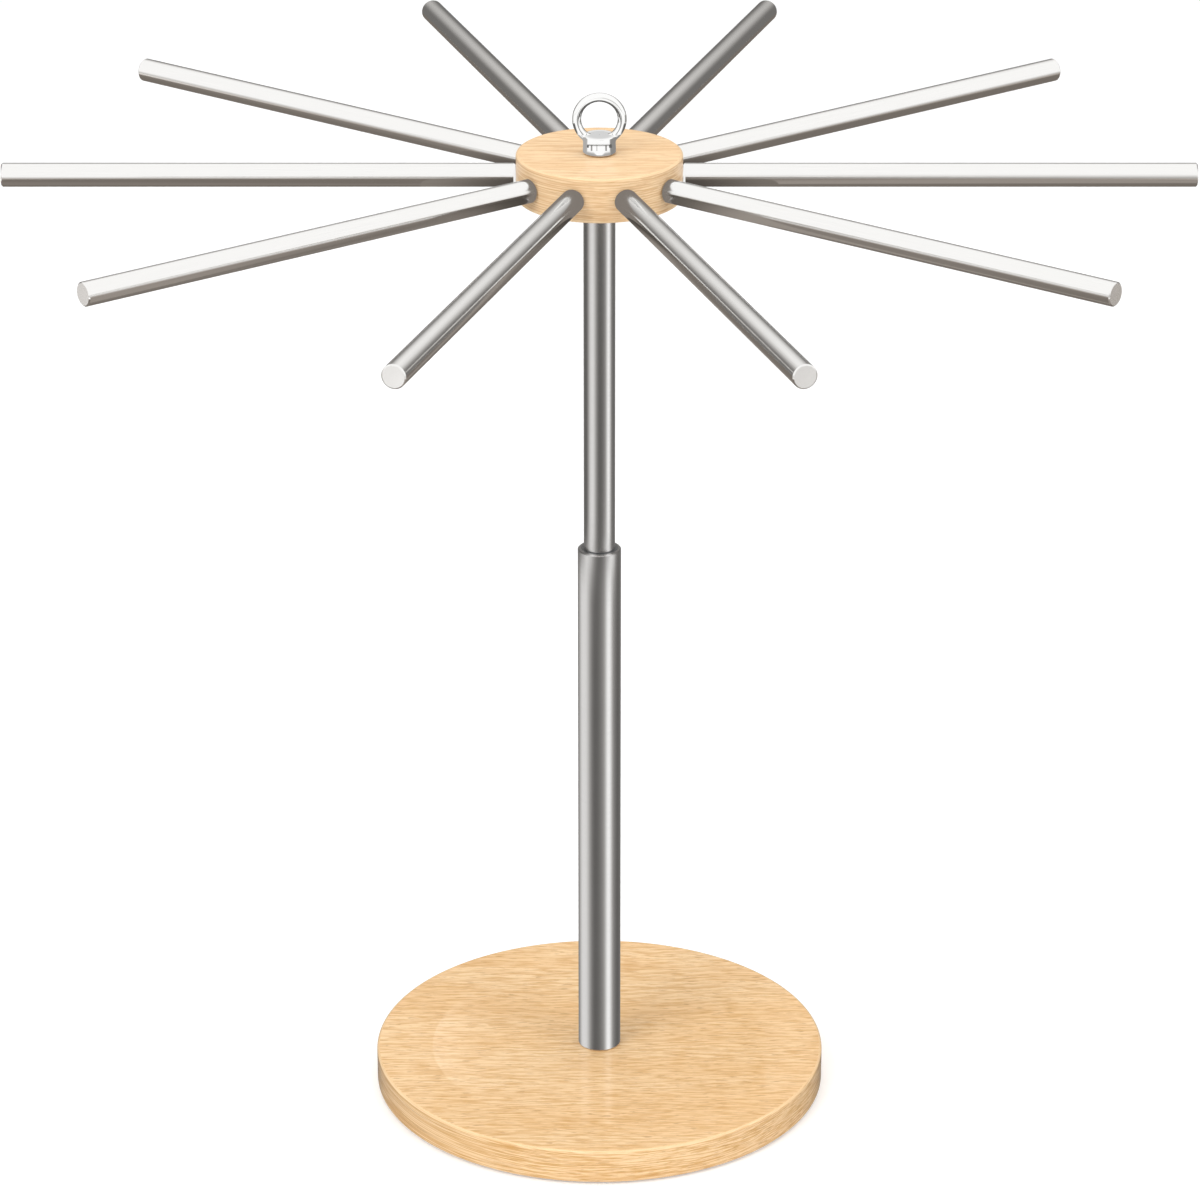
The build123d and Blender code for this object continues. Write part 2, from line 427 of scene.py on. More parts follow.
class Wiring:
    """A node tree that is filled by short calls."""

    def __init__(self, tree: NodeTree) -> None:
        """Start on a tree and empty it."""
        self.tree = tree
        tree.nodes.clear()

    def add(self, kind: str, inputs: dict[int | str, Any] | None = None, **settings: Any) -> Node:
        """Add one node.

        Args:
            kind: The node's type, without its ShaderNode prefix.
            inputs: A socket to link or a constant to set, by the input's name or number.
            settings: The node's own settings.

        Returns:
            The node.
        """
        node = self.tree.nodes.new(f"ShaderNode{kind}")
        for name, value in settings.items():
            setattr(node, name, value)
        for key, value in (inputs or {}).items():
            if isinstance(value, NodeSocket):
                self.tree.links.new(value, node.inputs[key])
            else:
                node.inputs[key].default_value = value
        return node

    def sum(self, operation: str, *values: Any) -> NodeSocket:
        """Work out one number: operation is a Math node's, values its inputs in order."""
        return self.add("Math", dict(enumerate(values)), operation=operation).outputs[0]

    def times(self, first: Any, second: Any) -> NodeSocket:
        """Multiply two numbers."""
        return self.sum("MULTIPLY", first, second)

    def less(self, first: Any, second: Any) -> NodeSocket:
        """Subtract the second number from the first."""
        return self.sum("SUBTRACT", first, second)

    def scaled_sum(self, value: Any, scale: Any, more: Any) -> NodeSocket:
        """Scale a number and add another."""
        return self.sum("MULTIPLY_ADD", value, scale, more)

    def vector(self, operation: str, *values: Any) -> NodeSocket:
        """Work out one vector: operation is a Vector Math node's, values its inputs in order."""
        return self.add("VectorMath", dict(enumerate(values)), operation=operation).outputs[0]

    def noise(self, place: Any, cells: Triple, detail: float = 2.0, output: str = "Fac") -> NodeSocket:
        """Read a noise.

        Args:
            place: The point that is read.
            cells: How many noise cells there are in one unit along X, Y and Z.
            detail: How many finer layers are added.
            output: Fac for a number of 0 to 1, Color for three of them.

        Returns:
            The noise.
        """
        scaled = self.vector("MULTIPLY", place, cells)
        return self.add("TexNoise", {"Vector": scaled, "Scale": 1.0, "Detail": detail}).outputs[output]

    def band(self, value: Any, low: float, high: float) -> NodeSocket:
        """Rise smoothly from 0 at low to 1 at high."""
        inputs = {"Value": value, "From Min": low, "From Max": high}
        return self.add("MapRange", inputs, interpolation_type="SMOOTHSTEP").outputs["Result"]

    def spread(self, value: Any, low: float, high: float) -> NodeSocket:
        """Stretch a value of 0 to 1 over low to high."""
        return self.add("MapRange", {"Value": value, "To Min": low, "To Max": high}).outputs["Result"]

    def blend(self, share: Any, first: Any, second: Any) -> NodeSocket:
        """Mix two colours: share 0 gives the first, 1 the second."""
        mixed = self.add("Mix", {0: share, 6: first, 7: second}, data_type="RGBA")
        return mixed.outputs[2]

    def read(self, name: str, output: str = "Fac") -> NodeSocket:
        """Read one of the piece's own attributes."""
        return self.add("Attribute", attribute_name=name).outputs[output]

    def in_mm(self, place: NodeSocket) -> NodeSocket:
        """Turn a place from metres into millimetres."""
        return self.vector("MULTIPLY", place, (1 / MM, 1 / MM, 1 / MM))

    def group(self, tree: NodeTree, inputs: dict[str, Any]) -> Any:
        """Place a node group with its own values and return its outputs by name."""
        return self.add("Group", inputs, node_tree=tree).outputs


def new_group(name: str, vectors: Sequence[str], numbers: Sequence[str] = ()) -> tuple[Wiring, Any]:
    """Start a shader node group.

    Args:
        name: The group's name.
        vectors: The names of its inputs that are vectors.
        numbers: The names of the others, which are numbers.

    Returns:
        The group's wiring, and its inputs by name.
    """
    tree = bpy.data.node_groups.new(name, "ShaderNodeTree")
    net = Wiring(tree)
    for names, kind in ((vectors, "NodeSocketVector"), (numbers, "NodeSocketFloat")):
        for socket in names:
            tree.interface.new_socket(socket, in_out="INPUT", socket_type=kind)
    return net, tree.nodes.new("NodeGroupInput").outputs


def close_group(net: Wiring, gives: dict[str, NodeSocket]) -> NodeTree:
    """Give a group its outputs by name, which are all numbers, and return it."""
    for name in gives:
        net.tree.interface.new_socket(name, in_out="OUTPUT", socket_type="NodeSocketFloat")
    made = net.tree.nodes.new("NodeGroupOutput")
    for name, value in gives.items():
        net.tree.links.new(value, made.inputs[name])
    return net.tree


def new_material(name: str) -> Wiring:
    """Start a material and return its wiring."""
    material = bpy.data.materials.new(name)
    material.use_nodes = True
    return Wiring(material.node_tree)


def close_material(net: Wiring, shader: Node) -> Material:
    """Give a material its surface and return it."""
    net.add("OutputMaterial", {"Surface": shader.outputs[0]})
    return next(m for m in bpy.data.materials if m.node_tree == net.tree)


class Cells(Enum):
    """Noise cells in a millimetre along X, Y and Z.

    PLAIN and FINER read a place that is stretched already.
    """

    BEND = (0.011, 0.036, 0.036)
    SHIVER = (0.06, 0.22, 0.22)
    PATCH = (0.04, 0.16, 0.16)
    STREAK = (0.12, 1.05, 1.05)
    FIBRE = (0.15, 1.9, 1.9)
    PORE = (0.2, 2.2, 2.2)
    TONE = (0.008, 0.06, 0.06)
    WEAR = (0.3, 0.3, 0.3)
    DUST = (0.5, 0.5, 0.5)
    CLOUD = (0.09, 0.09, 0.09)
    PLAIN = (1.0, 1.0, 1.0)
    FINER = (4.3, 4.3, 4.3)


@dataclass(frozen=True)
class Grain:
    """What the grain of a turned oak board is like, in millimetres.

    Bands are where a noise, or a growth ring's fraction, starts and ends its rise or fall. The rim's
    band is counted from the board's radius. skew and creep tie the rim's lines to Y, and rim_shift
    keeps them off the top's.
    """

    rim_band: Pair = (-0.9, -0.3)
    skew: float = 0.7
    creep: float = 0.02
    rim_shift: float = 60.0
    shiver: Triple = (0.0, 1.6, 1.6)
    uneven_cells: float = 0.13
    unevenness: float = 2.2
    late_rise: Pair = (0.4, 0.88)
    late_fall: Pair = (0.9, 1.0)
    early_fall: Pair = (0.2, 0.75)
    patchiness: Pair = (-0.1, 1.5)
    streak_band: Pair = (0.44, 0.64)
    fibre_band: Pair = (0.38, 0.62)
    tone_band: Pair = (0.3, 0.7)
    pore_edge: float = 0.84
    early_pores: float = -0.06
    pore_rise: float = 0.05
    rim_depth: float = 1.5
    # Painted light: the share of the tone that stays on the rim, so the side is painted paler than the
    # top.
    rim_tone_painted_light: float = 0.2

    def group(self) -> NodeTree:
        """Build the group that reads the grain at a point.

        Across the top the fibres run along X. On the rim the lines flow round the board, one above the
        other, Rim Lines times as close and half as strong again, on a ground painted paler: painted light
        that lifts the side, which the lamps light less than the top. Growth rings are circles round the
        pith, a line along X: the distance to it, which slow noise bends, divided by the ring width gives
        the ring's number, and its fraction runs from the open early wood to the dense, darker late wood.
        Streaks and fibres are noises stretched along X. Pores are short dashes, most of them in the early
        wood.

        Returns:
            The group. It takes Place, Pith, Radius, Ring Width and Bend in millimetres.
        """
        net, given = new_group("board_grain", ("Place", "Pith"),
                               ("Radius", "Rim Lines", "Ring Width", "Bend", "Pore Amount"))
        flat = net.vector("MULTIPLY", given["Place"], (1, 1, 0))
        reach = net.add("VectorMath", {0: flat}, operation="LENGTH").outputs["Value"]
        rim = net.band(net.less(reach, given["Radius"]), *self.rim_band)
        parts = net.add("SeparateXYZ", {0: given["Place"]}).outputs
        climb = net.times(parts["Z"], given["Rim Lines"])
        round_rim = net.add("CombineXYZ", {
            "X": net.scaled_sum(parts["Y"], self.skew, parts["X"]),
            "Y": net.less(climb, self.rim_shift),
            "Z": net.times(parts["Y"], self.creep),
        }).outputs[0]
        place = net.add("Mix", {0: rim, 4: given["Place"], 5: round_rim}, data_type="VECTOR").outputs[1]
        middle = (0.5, 0.5, 0.5)
        bend = net.vector("SUBTRACT", net.noise(place, Cells.BEND.value, 3.0, "Color"), middle)
        bend = net.add("VectorMath", {0: bend, "Scale": given["Bend"]}, operation="SCALE").outputs[0]
        quick = net.noise(place, Cells.SHIVER.value, 2.0, "Color")
        shiver = net.vector("MULTIPLY", net.vector("SUBTRACT", quick, middle), self.shiver)
        bent = net.vector("ADD", net.vector("ADD", place, bend), shiver)
        across = net.vector("MULTIPLY", net.vector("SUBTRACT", bent, given["Pith"]), (0, 1, 1))
        distance = net.add("VectorMath", {0: across}, operation="LENGTH").outputs["Value"]
        along = net.times(distance, self.uneven_cells)
        uneven = net.add("TexNoise", {"W": along, "Scale": 1.0}, noise_dimensions="1D").outputs["Fac"]
        counted = net.sum("DIVIDE", distance, given["Ring Width"])
        number = net.scaled_sum(uneven, self.unevenness, counted)
        part = net.sum("FRACT", number)
        late = net.less(net.band(part, *self.late_rise), net.band(part, *self.late_fall))
        strength = net.spread(net.noise(place, Cells.PATCH.value), *self.patchiness)
        streaks = net.band(net.noise(place, Cells.STREAK.value, 3.0), *self.streak_band)
        fibres = net.band(net.noise(place, Cells.FIBRE.value, 3.0), *self.fibre_band)
        early = net.less(1.0, net.band(part, *self.early_fall))
        edge = net.less(self.pore_edge, given["Pore Amount"])
        edge = net.scaled_sum(early, self.early_pores, edge)
        past = net.less(net.noise(place, Cells.PORE.value), edge)
        pores = net.add("Clamp", {"Value": net.sum("DIVIDE", past, self.pore_rise)}).outputs[0]
        tone = net.band(net.noise(place, Cells.TONE.value, 3.0), *self.tone_band)
        deeper = net.spread(rim, 1.0, self.rim_depth)
        return close_group(net, {
            "Rings": net.times(net.times(late, strength), deeper),
            "Streaks": net.times(streaks, deeper),
            "Fibres": fibres,
            "Pores": pores,
            # Painted light: the tone fades on the rim, which paints the side paler than the lamps light
            # it.
            "Tone": net.times(tone, net.spread(rim, 1.0, self.rim_tone_painted_light)),
        })


def edge_wear() -> NodeTree:
    """Build the group that tells how far an eased edge is rubbed pale.

    The wear is how rounded the surface is there, times the amount, times a noise of one cell in three
    millimetres that breaks it up a little.

    Returns:
        The group. It takes Place in millimetres, Eased and Amount, and gives Wear.
    """
    net, given = new_group("edge_wear", ("Place",), ("Eased", "Amount"))
    broken = net.spread(net.noise(given["Place"], Cells.WEAR.value, 3.0), 0.5, 1.5)
    worn = net.times(given["Eased"], given["Amount"])
    return close_group(net, {"Wear": net.times(worn, broken)})


def moulded_skin() -> NodeTree:
    """Build the group that reads the pebbled skin of a moulded piece and the dust that lies in it.

    Returns:
        The group. It takes Place in millimetres and Pebble, the cells in a millimetre, and gives
        Pebbles and Dust.
    """
    net, given = new_group("moulded_skin", ("Place",), ("Pebble",))
    inputs = {0: given["Place"], "Scale": given["Pebble"]}
    scaled = net.add("VectorMath", inputs, operation="SCALE").outputs[0]
    dust = net.band(net.noise(given["Place"], Cells.DUST.value, 4.0), 0.45, 0.8)
    return close_group(net, {"Pebbles": net.noise(scaled, Cells.PLAIN.value, 3.0), "Dust": dust})


def worked_lines() -> NodeTree:
    """Build the group that reads the fine lines left by a grinding or polishing belt.

    Two stretched noises, one a few times finer than the other, are added. A third, slow and round,
    gives the faint clouds that hands and cloths leave.

    Returns:
        The group. It takes Place and a Stretch, both in millimetres, and gives Lines and Clouds.
    """
    net, given = new_group("worked_lines", ("Place", "Stretch"))
    place = net.vector("MULTIPLY", given["Place"], given["Stretch"])
    both = net.sum("ADD", net.noise(place, Cells.PLAIN.value), net.noise(place, Cells.FINER.value))
    clouds = net.band(net.noise(given["Place"], Cells.CLOUD.value), 0.3, 0.7)
    return close_group(net, {
        "Lines": net.band(net.times(both, 0.5), 0.34, 0.66), "Clouds": clouds,
    })


# Finishes


@dataclass(frozen=True)
class Effects:
    """The node groups that the finishes share."""

    grain: NodeTree
    lines: NodeTree
    wear: NodeTree
    skin: NodeTree

    def worn(self, net: Wiring, place: NodeSocket, amount: float) -> NodeSocket:
        """Tell how far the piece's eased edges are worn at a place in millimetres."""
        values = {"Place": place, "Eased": net.read("eased"), "Amount": amount}
        return net.group(self.wear, values)["Wear"]


@dataclass(frozen=True)
class Oak:
    """Light oak under a satin lacquer.

    pale and tan are the board's slow change of colour, late the denser late wood, streak the darker
    streaks and pore the open pores. pith is a point of the pith line, and with radius, the board's
    own, ring_width and bend it is in millimetres.
    """

    name: str
    pale: Colour
    tan: Colour
    late: Colour
    streak: Colour
    pore: Colour
    pith: Triple
    radius: float
    ring_width: float
    bend: float
    rim_lines: float = 2.2
    ring_strength: float = 0.5
    streak_strength: float = 0.5
    fibre_strength: float = 0.3
    pore_amount: float = 0.2
    pore_strength: float = 0.6
    lacquer: float = 0.7
    wear: float = 0.5
    relief: float = 0.06 * MM
    relief_strength: float = 0.35
    fibre_relief: float = 0.22
    ring_relief: float = 0.15
    roughness: Pair = (0.38, 0.5)
    lacquer_roughness: float = 0.09
    gloss: float = 0.25

    def material(self, effects: Effects) -> Material:
        """Mix the wood's colours and bump from its grain.

        Args:
            effects: The shared node groups.

        Returns:
            The material.
        """
        net = new_material(self.name)
        place = net.in_mm(net.add("TexCoord").outputs["Object"])
        read = net.group(effects.grain, {
            "Place": place, "Pith": self.pith, "Radius": self.radius, "Rim Lines": self.rim_lines,
            "Ring Width": self.ring_width, "Bend": self.bend, "Pore Amount": self.pore_amount,
        })
        colour = net.blend(read["Tone"], self.pale, self.tan)
        for mark, strength, tone in (
            ("Rings", self.ring_strength, self.late), ("Streaks", self.streak_strength, self.streak),
            ("Fibres", self.fibre_strength, self.pale), ("Pores", self.pore_strength, self.pore),
        ):
            colour = net.blend(net.times(read[mark], strength), colour, tone)
        colour = net.blend(effects.worn(net, place, self.wear), colour, self.pale)
        relief = net.scaled_sum(read["Pores"], -1.0,
                                net.times(read["Fibres"], self.fibre_relief))
        relief = net.scaled_sum(read["Rings"], self.ring_relief, relief)
        bump = net.add("Bump", {"Strength": self.relief_strength, "Distance": self.relief,
                                "Height": relief})
        return close_material(net, net.add("BsdfPrincipled", {
            "Base Color": colour, "Roughness": net.spread(read["Fibres"], *self.roughness),
            "Normal": bump.outputs[0], "Coat Weight": self.lacquer,
            "Coat Roughness": self.lacquer_roughness, "Specular IOR Level": self.gloss,
        }))


class Working(Enum):
    """Which way a metal surface was worked: its lines are short across and long along them."""

    ROUND = (0.09, 0.09, 7.0)
    ALONG = (7.0, 7.0, 0.05)
    CAST = (1.4, 1.4, 1.4)


@dataclass(frozen=True)
class Metal:
    """A bare or plated metal with the lines of its working.

    vertical_sheen is the anisotropy of a surface whose fine round lines draw reflections out along
    the pole.
    """

    name: str
    colour: Colour
    working: Working
    smoothest: float
    roughest: float
    relief: float = 0.0006 * MM
    end_roughness: float = 0.0
    shade: float = 0.06
    vertical_sheen: float = 0.0
    cloudiness: float = 0.4

    def material(self, effects: Effects) -> Material:
        """Mix the metal's colour, roughness and bump from its lines.

        Args:
            effects: The shared node groups.

        Returns:
            The material.
        """
        net = new_material(self.name)
        place = net.in_mm(net.read("turning", "Vector"))
        read = net.group(effects.lines, {"Place": place, "Stretch": self.working.value})
        darker = tuple(channel * (1 - 2 * self.shade) for channel in self.colour[:3]) + (1.0,)
        lines = net.times(read["Lines"], 1 - self.cloudiness)
        rough = net.spread(net.scaled_sum(read["Clouds"], self.cloudiness, lines),
                           self.smoothest, self.roughest)
        rough = net.scaled_sum(net.read("faced"), self.end_roughness, rough)
        bump = net.add("Bump", {"Strength": 1.0, "Distance": self.relief, "Height": read["Lines"]})
        values = {"Base Color": net.blend(read["Lines"], self.colour, darker), "Metallic": 1.0,
                  "Roughness": rough, "Normal": bump.outputs[0]}
        if self.vertical_sheen:
            round_pole = net.add("Tangent", direction_type="RADIAL", axis="Z").outputs[0]
            values |= {"Anisotropic": self.vertical_sheen, "Anisotropic Rotation": 0.25,
                       "Tangent": round_pole}
        return close_material(net, net.add("BsdfPrincipled", values))


@dataclass(frozen=True)
class Moulded:
    """Matt rubber or plastic with a fine moulded texture."""

    name: str
    colour: Colour
    roughness: float
    pebble: float
    wear: float = 0.5
    dust: float = 0.5
    lightening: Pair = (1.8, 0.03)
    unevenness: float = 0.08
    relief: float = 0.03 * MM
    relief_strength: float = 0.5

    def material(self, effects: Effects) -> Material:
        """Mix the colour and bump from the skin's pebbles and dust.

        Args:
            effects: The shared node groups.

        Returns:
            The material.
        """
        net = new_material(self.name)
        place = net.in_mm(net.read("turning", "Vector"))
        read = net.group(effects.skin, {"Place": place, "Pebble": self.pebble})
        gain, lift = self.lightening
        lighter = tuple(min(1.0, gain * channel + lift) for channel in self.colour[:3]) + (1.0,)
        colour = net.blend(net.times(read["Dust"], self.dust), self.colour, lighter)
        colour = net.blend(effects.worn(net, place, self.wear), colour, lighter)
        rough = net.spread(read["Pebbles"], self.roughness - self.unevenness,
                           self.roughness + self.unevenness)
        bump = net.add("Bump", {"Strength": self.relief_strength, "Distance": self.relief,
                                "Height": read["Pebbles"]})
        values = {"Base Color": colour, "Roughness": rough, "Normal": bump.outputs[0]}
        return close_material(net, net.add("BsdfPrincipled", values))


class Finishes:
    """Every finish of the rack, made once."""

    def __init__(self) -> None:
        """Build the shared groups and the materials."""
        effects = Effects(Grain().group(), worked_lines(), edge_wear(), moulded_skin())
        base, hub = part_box("base_disc")[1].x / MM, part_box("hub")[1].x / MM
        self.base_oak = Oak(
            "base_oak", pale=paint(255, 220, 172), tan=paint(248, 205, 150), late=paint(216, 162, 96),
            streak=paint(216, 160, 86), pore=paint(178, 122, 60), pith=(0.0, 110.0, -120.0), radius=base,
            ring_width=1.8, bend=14.0, ring_strength=0.7, streak_strength=0.62, fibre_strength=0.4,
            pore_strength=0.5, lacquer=1.0,
        ).material(effects)
        self.hub_oak = Oak(
            "hub_oak", pale=paint(245, 213, 170), tan=paint(238, 201, 154), late=paint(206, 158, 106),
            streak=paint(214, 166, 114), pore=paint(176, 128, 84), pith=(0.0, 70.0, 250.0), radius=hub,
            ring_width=1.7, bend=7.0, ring_strength=0.6, streak_strength=0.45, fibre_strength=0.25,
            pore_amount=0.17, pore_strength=0.45, lacquer=0.3,
        ).material(effects)
        self.pole_steel = Metal(
            "pole_steel", paint(232, 231, 230), Working.ROUND, 0.2, 0.27, shade=0.02, vertical_sheen=0.7,
        ).material(effects)
        self.rod_steel = Metal(
            "rod_steel", paint(250, 249, 247), Working.ALONG, 0.11, 0.18, end_roughness=0.12, shade=0.02,
        ).material(effects)
        self.nut_steel = Metal(
            "nut_steel", paint(254, 254, 253), Working.CAST, 0.03, 0.06, relief=0.0002 * MM, shade=0.005,
        ).material(effects)
        self.zinc = Metal(
            "zinc_plate", paint(196, 198, 200), Working.CAST, 0.28, 0.42, shade=0.1,
        ).material(effects)
        self.brass = Metal(
            "turned_brass", paint(214, 178, 104), Working.ROUND, 0.2, 0.34, shade=0.1,
        ).material(effects)
        self.rubber = Moulded("foot_rubber", grey(0.028), 0.72, 5.0).material(effects)
        self.nylon = Moulded("washer_nylon", grey(0.02), 0.5, 3.0).material(effects)


# Sub-assemblies


@dataclass(frozen=True)
class Base:
    """The oak board on four rubber feet, with the screw and washer that hold the pole."""

    top_round: float = 1.0 * MM
    bottom_round: float = 0.8 * MM
    bore_radius: float = 3.25 * MM
    bore_round: float = 0.2 * MM
    counterbore_radius: float = 9.0 * MM
    counterbore_depth: float = 6.0 * MM
    counterbore_chamfer: float = 0.5 * MM
    edge_round: float = 0.08 * MM
    foot_gap: float = 0.15 * MM
    foot_depth: float = 1.0 * MM
    foot_round: float = 0.35 * MM
    feet: int = 4
    head_round: float = 1.2 * MM
    screw_radius: float = 3.0 * MM
    screw_chamfer: float = 0.6 * MM
    screw_pitch: float = 1.0 * MM
    key_half_width: float = 2.0 * MM
    key_depth: float = 2.0 * MM
    head_height: float = 3.3 * MM
    threaded: float = 14.0 * MM
    overrun: float = 1.0 * MM

    def board(self) -> Mesh:
        """Turn the board and cut the recesses of its feet.

        Returns:
            The board's mesh.
        """
        low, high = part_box("base_disc")
        wide, narrow, ease = self.counterbore_radius, self.bore_radius, self.edge_round
        shelf, chamfer = low.z + self.counterbore_depth, self.counterbore_chamfer
        corners = path(
            (wide + chamfer, low.z, ease), (high.x, low.z, self.bottom_round),
            (high.x, high.z, self.top_round), (narrow, high.z, self.bore_round), (narrow, shelf, ease),
            (wide, shelf, ease), (wide, low.z + chamfer, ease),
        )
        disc = Turned(corners, hollow=True, columns=384).mesh("base_disc_turned")
        recesses = []
        for number in range(1, self.feet + 1):
            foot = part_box(f"base_foot_{number}")
            radius = (foot[1].x - foot[0].x) / 2 + self.foot_gap
            recess = peg(radius, low.z - self.overrun, low.z + self.foot_depth, 96)
            recesses.append(recess.mesh(f"recess_{number}", upright(*foot)))
        return carve("oak_base", disc, recesses)

    def foot(self, number: int) -> Mesh:
        """Turn one foot, of a number from 1."""
        low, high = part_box(f"base_foot_{number}")
        radius = (high.x - low.x) / 2
        corners = path(
            (0, low.z), (radius, low.z, self.foot_round), (radius, high.z, self.edge_round), (0, high.z),
        )
        return Turned(corners, columns=96).mesh(f"rubber_foot_{number}", upright(low, high))

    def screw(self) -> Mesh:
        """Turn the socket screw, with its six-sided key socket and its thread."""
        low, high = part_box("base_screw")
        key, floor, seat = self.key_half_width, low.z + self.key_depth, low.z + self.head_height
        radius, chamfer = self.screw_radius, self.screw_chamfer
        corners = path(
            (0, floor), (key, floor, 0, True), (key, low.z, 0, True), (high.x, low.z, self.head_round),
            (high.x, seat, self.edge_round), (radius, seat), (radius, high.z - chamfer),
            (radius - chamfer, high.z), (0, high.z),
        )
        thread = Thread(high.z - self.threaded, high.z, self.screw_pitch)
        return Turned(corners, columns=96, thread=thread).mesh("socket_screw")

    def washer(self) -> Mesh:
        """Turn the flat washer under the screw's head."""
        ease = self.edge_round
        return sleeve("flat_washer", "base_washer", self.bore_radius, (ease, 2 * ease, ease, ease), 128)

    def build(self, finishes: Finishes) -> None:
        """Make and dress every piece of the base."""
        show("oak_base", "base_disc", self.board(), finishes.base_oak)
        for number in range(1, self.feet + 1):
            show(f"rubber_foot_{number}", f"base_foot_{number}", self.foot(number), finishes.rubber)
        show("socket_screw", "base_screw", self.screw(), finishes.zinc)
        show("flat_washer", "base_washer", self.washer(), finishes.zinc)


@dataclass(frozen=True)
class Pole:
    """The two steel tubes, the plugs in their ends and the threaded studs."""

    lower_wall: float = 1.2 * MM
    upper_wall: float = 1.0 * MM
    foot_chamfer: float = 0.5 * MM
    rim_chamfer: float = 0.4 * MM
    upper_chamfer: float = 0.3 * MM
    chamfer_round: float = 0.06 * MM
    plug_chamfer: float = 0.3 * MM
    plug_hole_gap: float = 0.05 * MM
    stud_chamfer: float = 0.5 * MM
    stud_pitch: float = 0.8 * MM
    stud_radius: float = 2.5 * MM
    screw_radius: float = 3.0 * MM
    stud_hole_depth: float = 10.0 * MM
    screw_hole_depth: float = 11.0 * MM

    def tube(self, name: str, node: str, wall: float, foot: float, rim: float) -> Mesh:
        """Turn one tube with chamfered outer edges.

        Args:
            name: The mesh's name.
            node: The tube's node, which gives its radius and its ends.
            wall: The wall's thickness.
            foot: The chamfer at its lower end.
            rim: The chamfer at its upper end.

        Returns:
            The tube's mesh.
        """
        low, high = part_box(node)
        radius, ease = high.x, self.chamfer_round
        corners = path(
            (radius - wall, low.z, ease), (radius - foot, low.z, ease), (radius, low.z + foot, ease),
            (radius, high.z - rim, ease), (radius - rim, high.z, ease), (radius - wall, high.z, ease),
        )
        return Turned(corners, hollow=True, columns=256).mesh(name)

    def plug(self, name: str, node: str, hole: float, depth: float, opens_up: bool) -> Mesh:
        """Turn one plug with a blind hole in the face that is flush with its tube.

        Args:
            name: The mesh's name.
            node: The plug's node.
            hole: The hole's radius.
            depth: The hole's depth.
            opens_up: Whether the hole opens upwards. If not, the same outline stands on its head.

        Returns:
            The plug's mesh.
        """
        low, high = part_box(node)
        radius, ease, bevel = high.x, self.chamfer_round, self.plug_chamfer
        rows = [
            (0, low.z), (radius - bevel, low.z), (radius, low.z + bevel), (radius, high.z, ease),
            (hole, high.z, ease), (hole, high.z - depth), (0, high.z - depth),
        ]
        if not opens_up:
            rows = [(out, low.z + high.z - up, *rounding) for out, up, *rounding in reversed(rows)]
        return Turned(path(*rows), columns=96).mesh(name)

    def stud(self, name: str, node: str) -> Mesh:
        """Turn one stud, threaded from end to end."""
        low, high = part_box(node)
        radius, bevel = high.x, self.stud_chamfer
        corners = path(
            (0, low.z), (radius - bevel, low.z), (radius, low.z + bevel), (radius, high.z - bevel),
            (radius - bevel, high.z), (0, high.z),
        )
        return Turned(corners, columns=96, thread=Thread(low.z, high.z, self.stud_pitch)).mesh(name)

    def build(self, finishes: Finishes) -> None:
        """Make and dress every piece of the pole."""
        lower = self.tube("lower_pole", "lower_tube", self.lower_wall, self.foot_chamfer, self.rim_chamfer)
        bevel = self.upper_chamfer
        upper = self.tube("upper_pole", "upper_tube", self.upper_wall, bevel, bevel)
        show("lower_pole", "lower_tube", lower, finishes.pole_steel)
        show("upper_pole", "upper_tube", upper, finishes.pole_steel)
        stud_hole = (self.stud_radius + self.plug_hole_gap, self.stud_hole_depth)
        screw_hole = (self.screw_radius + self.plug_hole_gap, self.screw_hole_depth)
        for end, hole, opens_up in (
            ("lower_tube_bottom", screw_hole, False), ("lower_tube_top", stud_hole, True),
            ("upper_tube_bottom", stud_hole, False), ("upper_tube_top", stud_hole, True),
        ):
            name = f"{end}_insert"
            show(name, f"{end}_plug", self.plug(name, f"{end}_plug", *hole, opens_up), finishes.zinc)
        show("joint_screw", "joint_stud", self.stud("joint_screw", "joint_stud"), finishes.zinc)
        show("top_screw", "top_stud", self.stud("top_screw", "top_stud"), finishes.zinc)


@dataclass(frozen=True)
class Hub:
    """The oak hub, the brass bush that it turns on and the nylon washer under it."""

    edge_round: float = 0.9 * MM
    bore_radius: float = 4.05 * MM
    bore_round: float = 0.2 * MM
    small_round: float = 0.08 * MM
    bush_bore_radius: float = 2.55 * MM
    hole_radius: float = 2.55 * MM
    hole_floor: float = 17.1 * MM
    overrun: float = 1.0 * MM
    holes: int = 10

    def disc(self) -> Mesh:
        """Turn the hub and bore a blind hole for each rod.

        Returns:
            The hub's mesh.
        """
        low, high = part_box("hub")
        eases = (self.bore_round, self.edge_round, self.edge_round, self.bore_round)
        disc = sleeve("hub_turned", "hub", self.bore_radius, eases, 320)
        bore = peg(self.hole_radius, self.hole_floor, high.x + self.overrun, 48)
        level = (low.z + high.z) / 2
        cutters = [bore.mesh(f"hole_{n}", outward(360 / self.holes * n, level)) for n in range(self.holes)]
        return carve("oak_hub", disc, cutters)

    def bush(self) -> Mesh:
        """Turn the spacer bush."""
        ease = self.small_round
        return sleeve("brass_bush", "hub_bush", self.bush_bore_radius, (ease, ease, 2 * ease, ease), 96)

    def washer(self) -> Mesh:
        """Turn the washer that the hub glides on."""
        return sleeve("glide_washer", "thrust_washer", self.bore_radius, (self.small_round,) * 4, 128)

    def build(self, finishes: Finishes) -> None:
        """Make and dress every piece of the hub."""
        show("oak_hub", "hub", self.disc(), finishes.hub_oak)
        show("brass_bush", "hub_bush", self.bush(), finishes.brass)
        show("glide_washer", "thrust_washer", self.washer(), finishes.nylon)


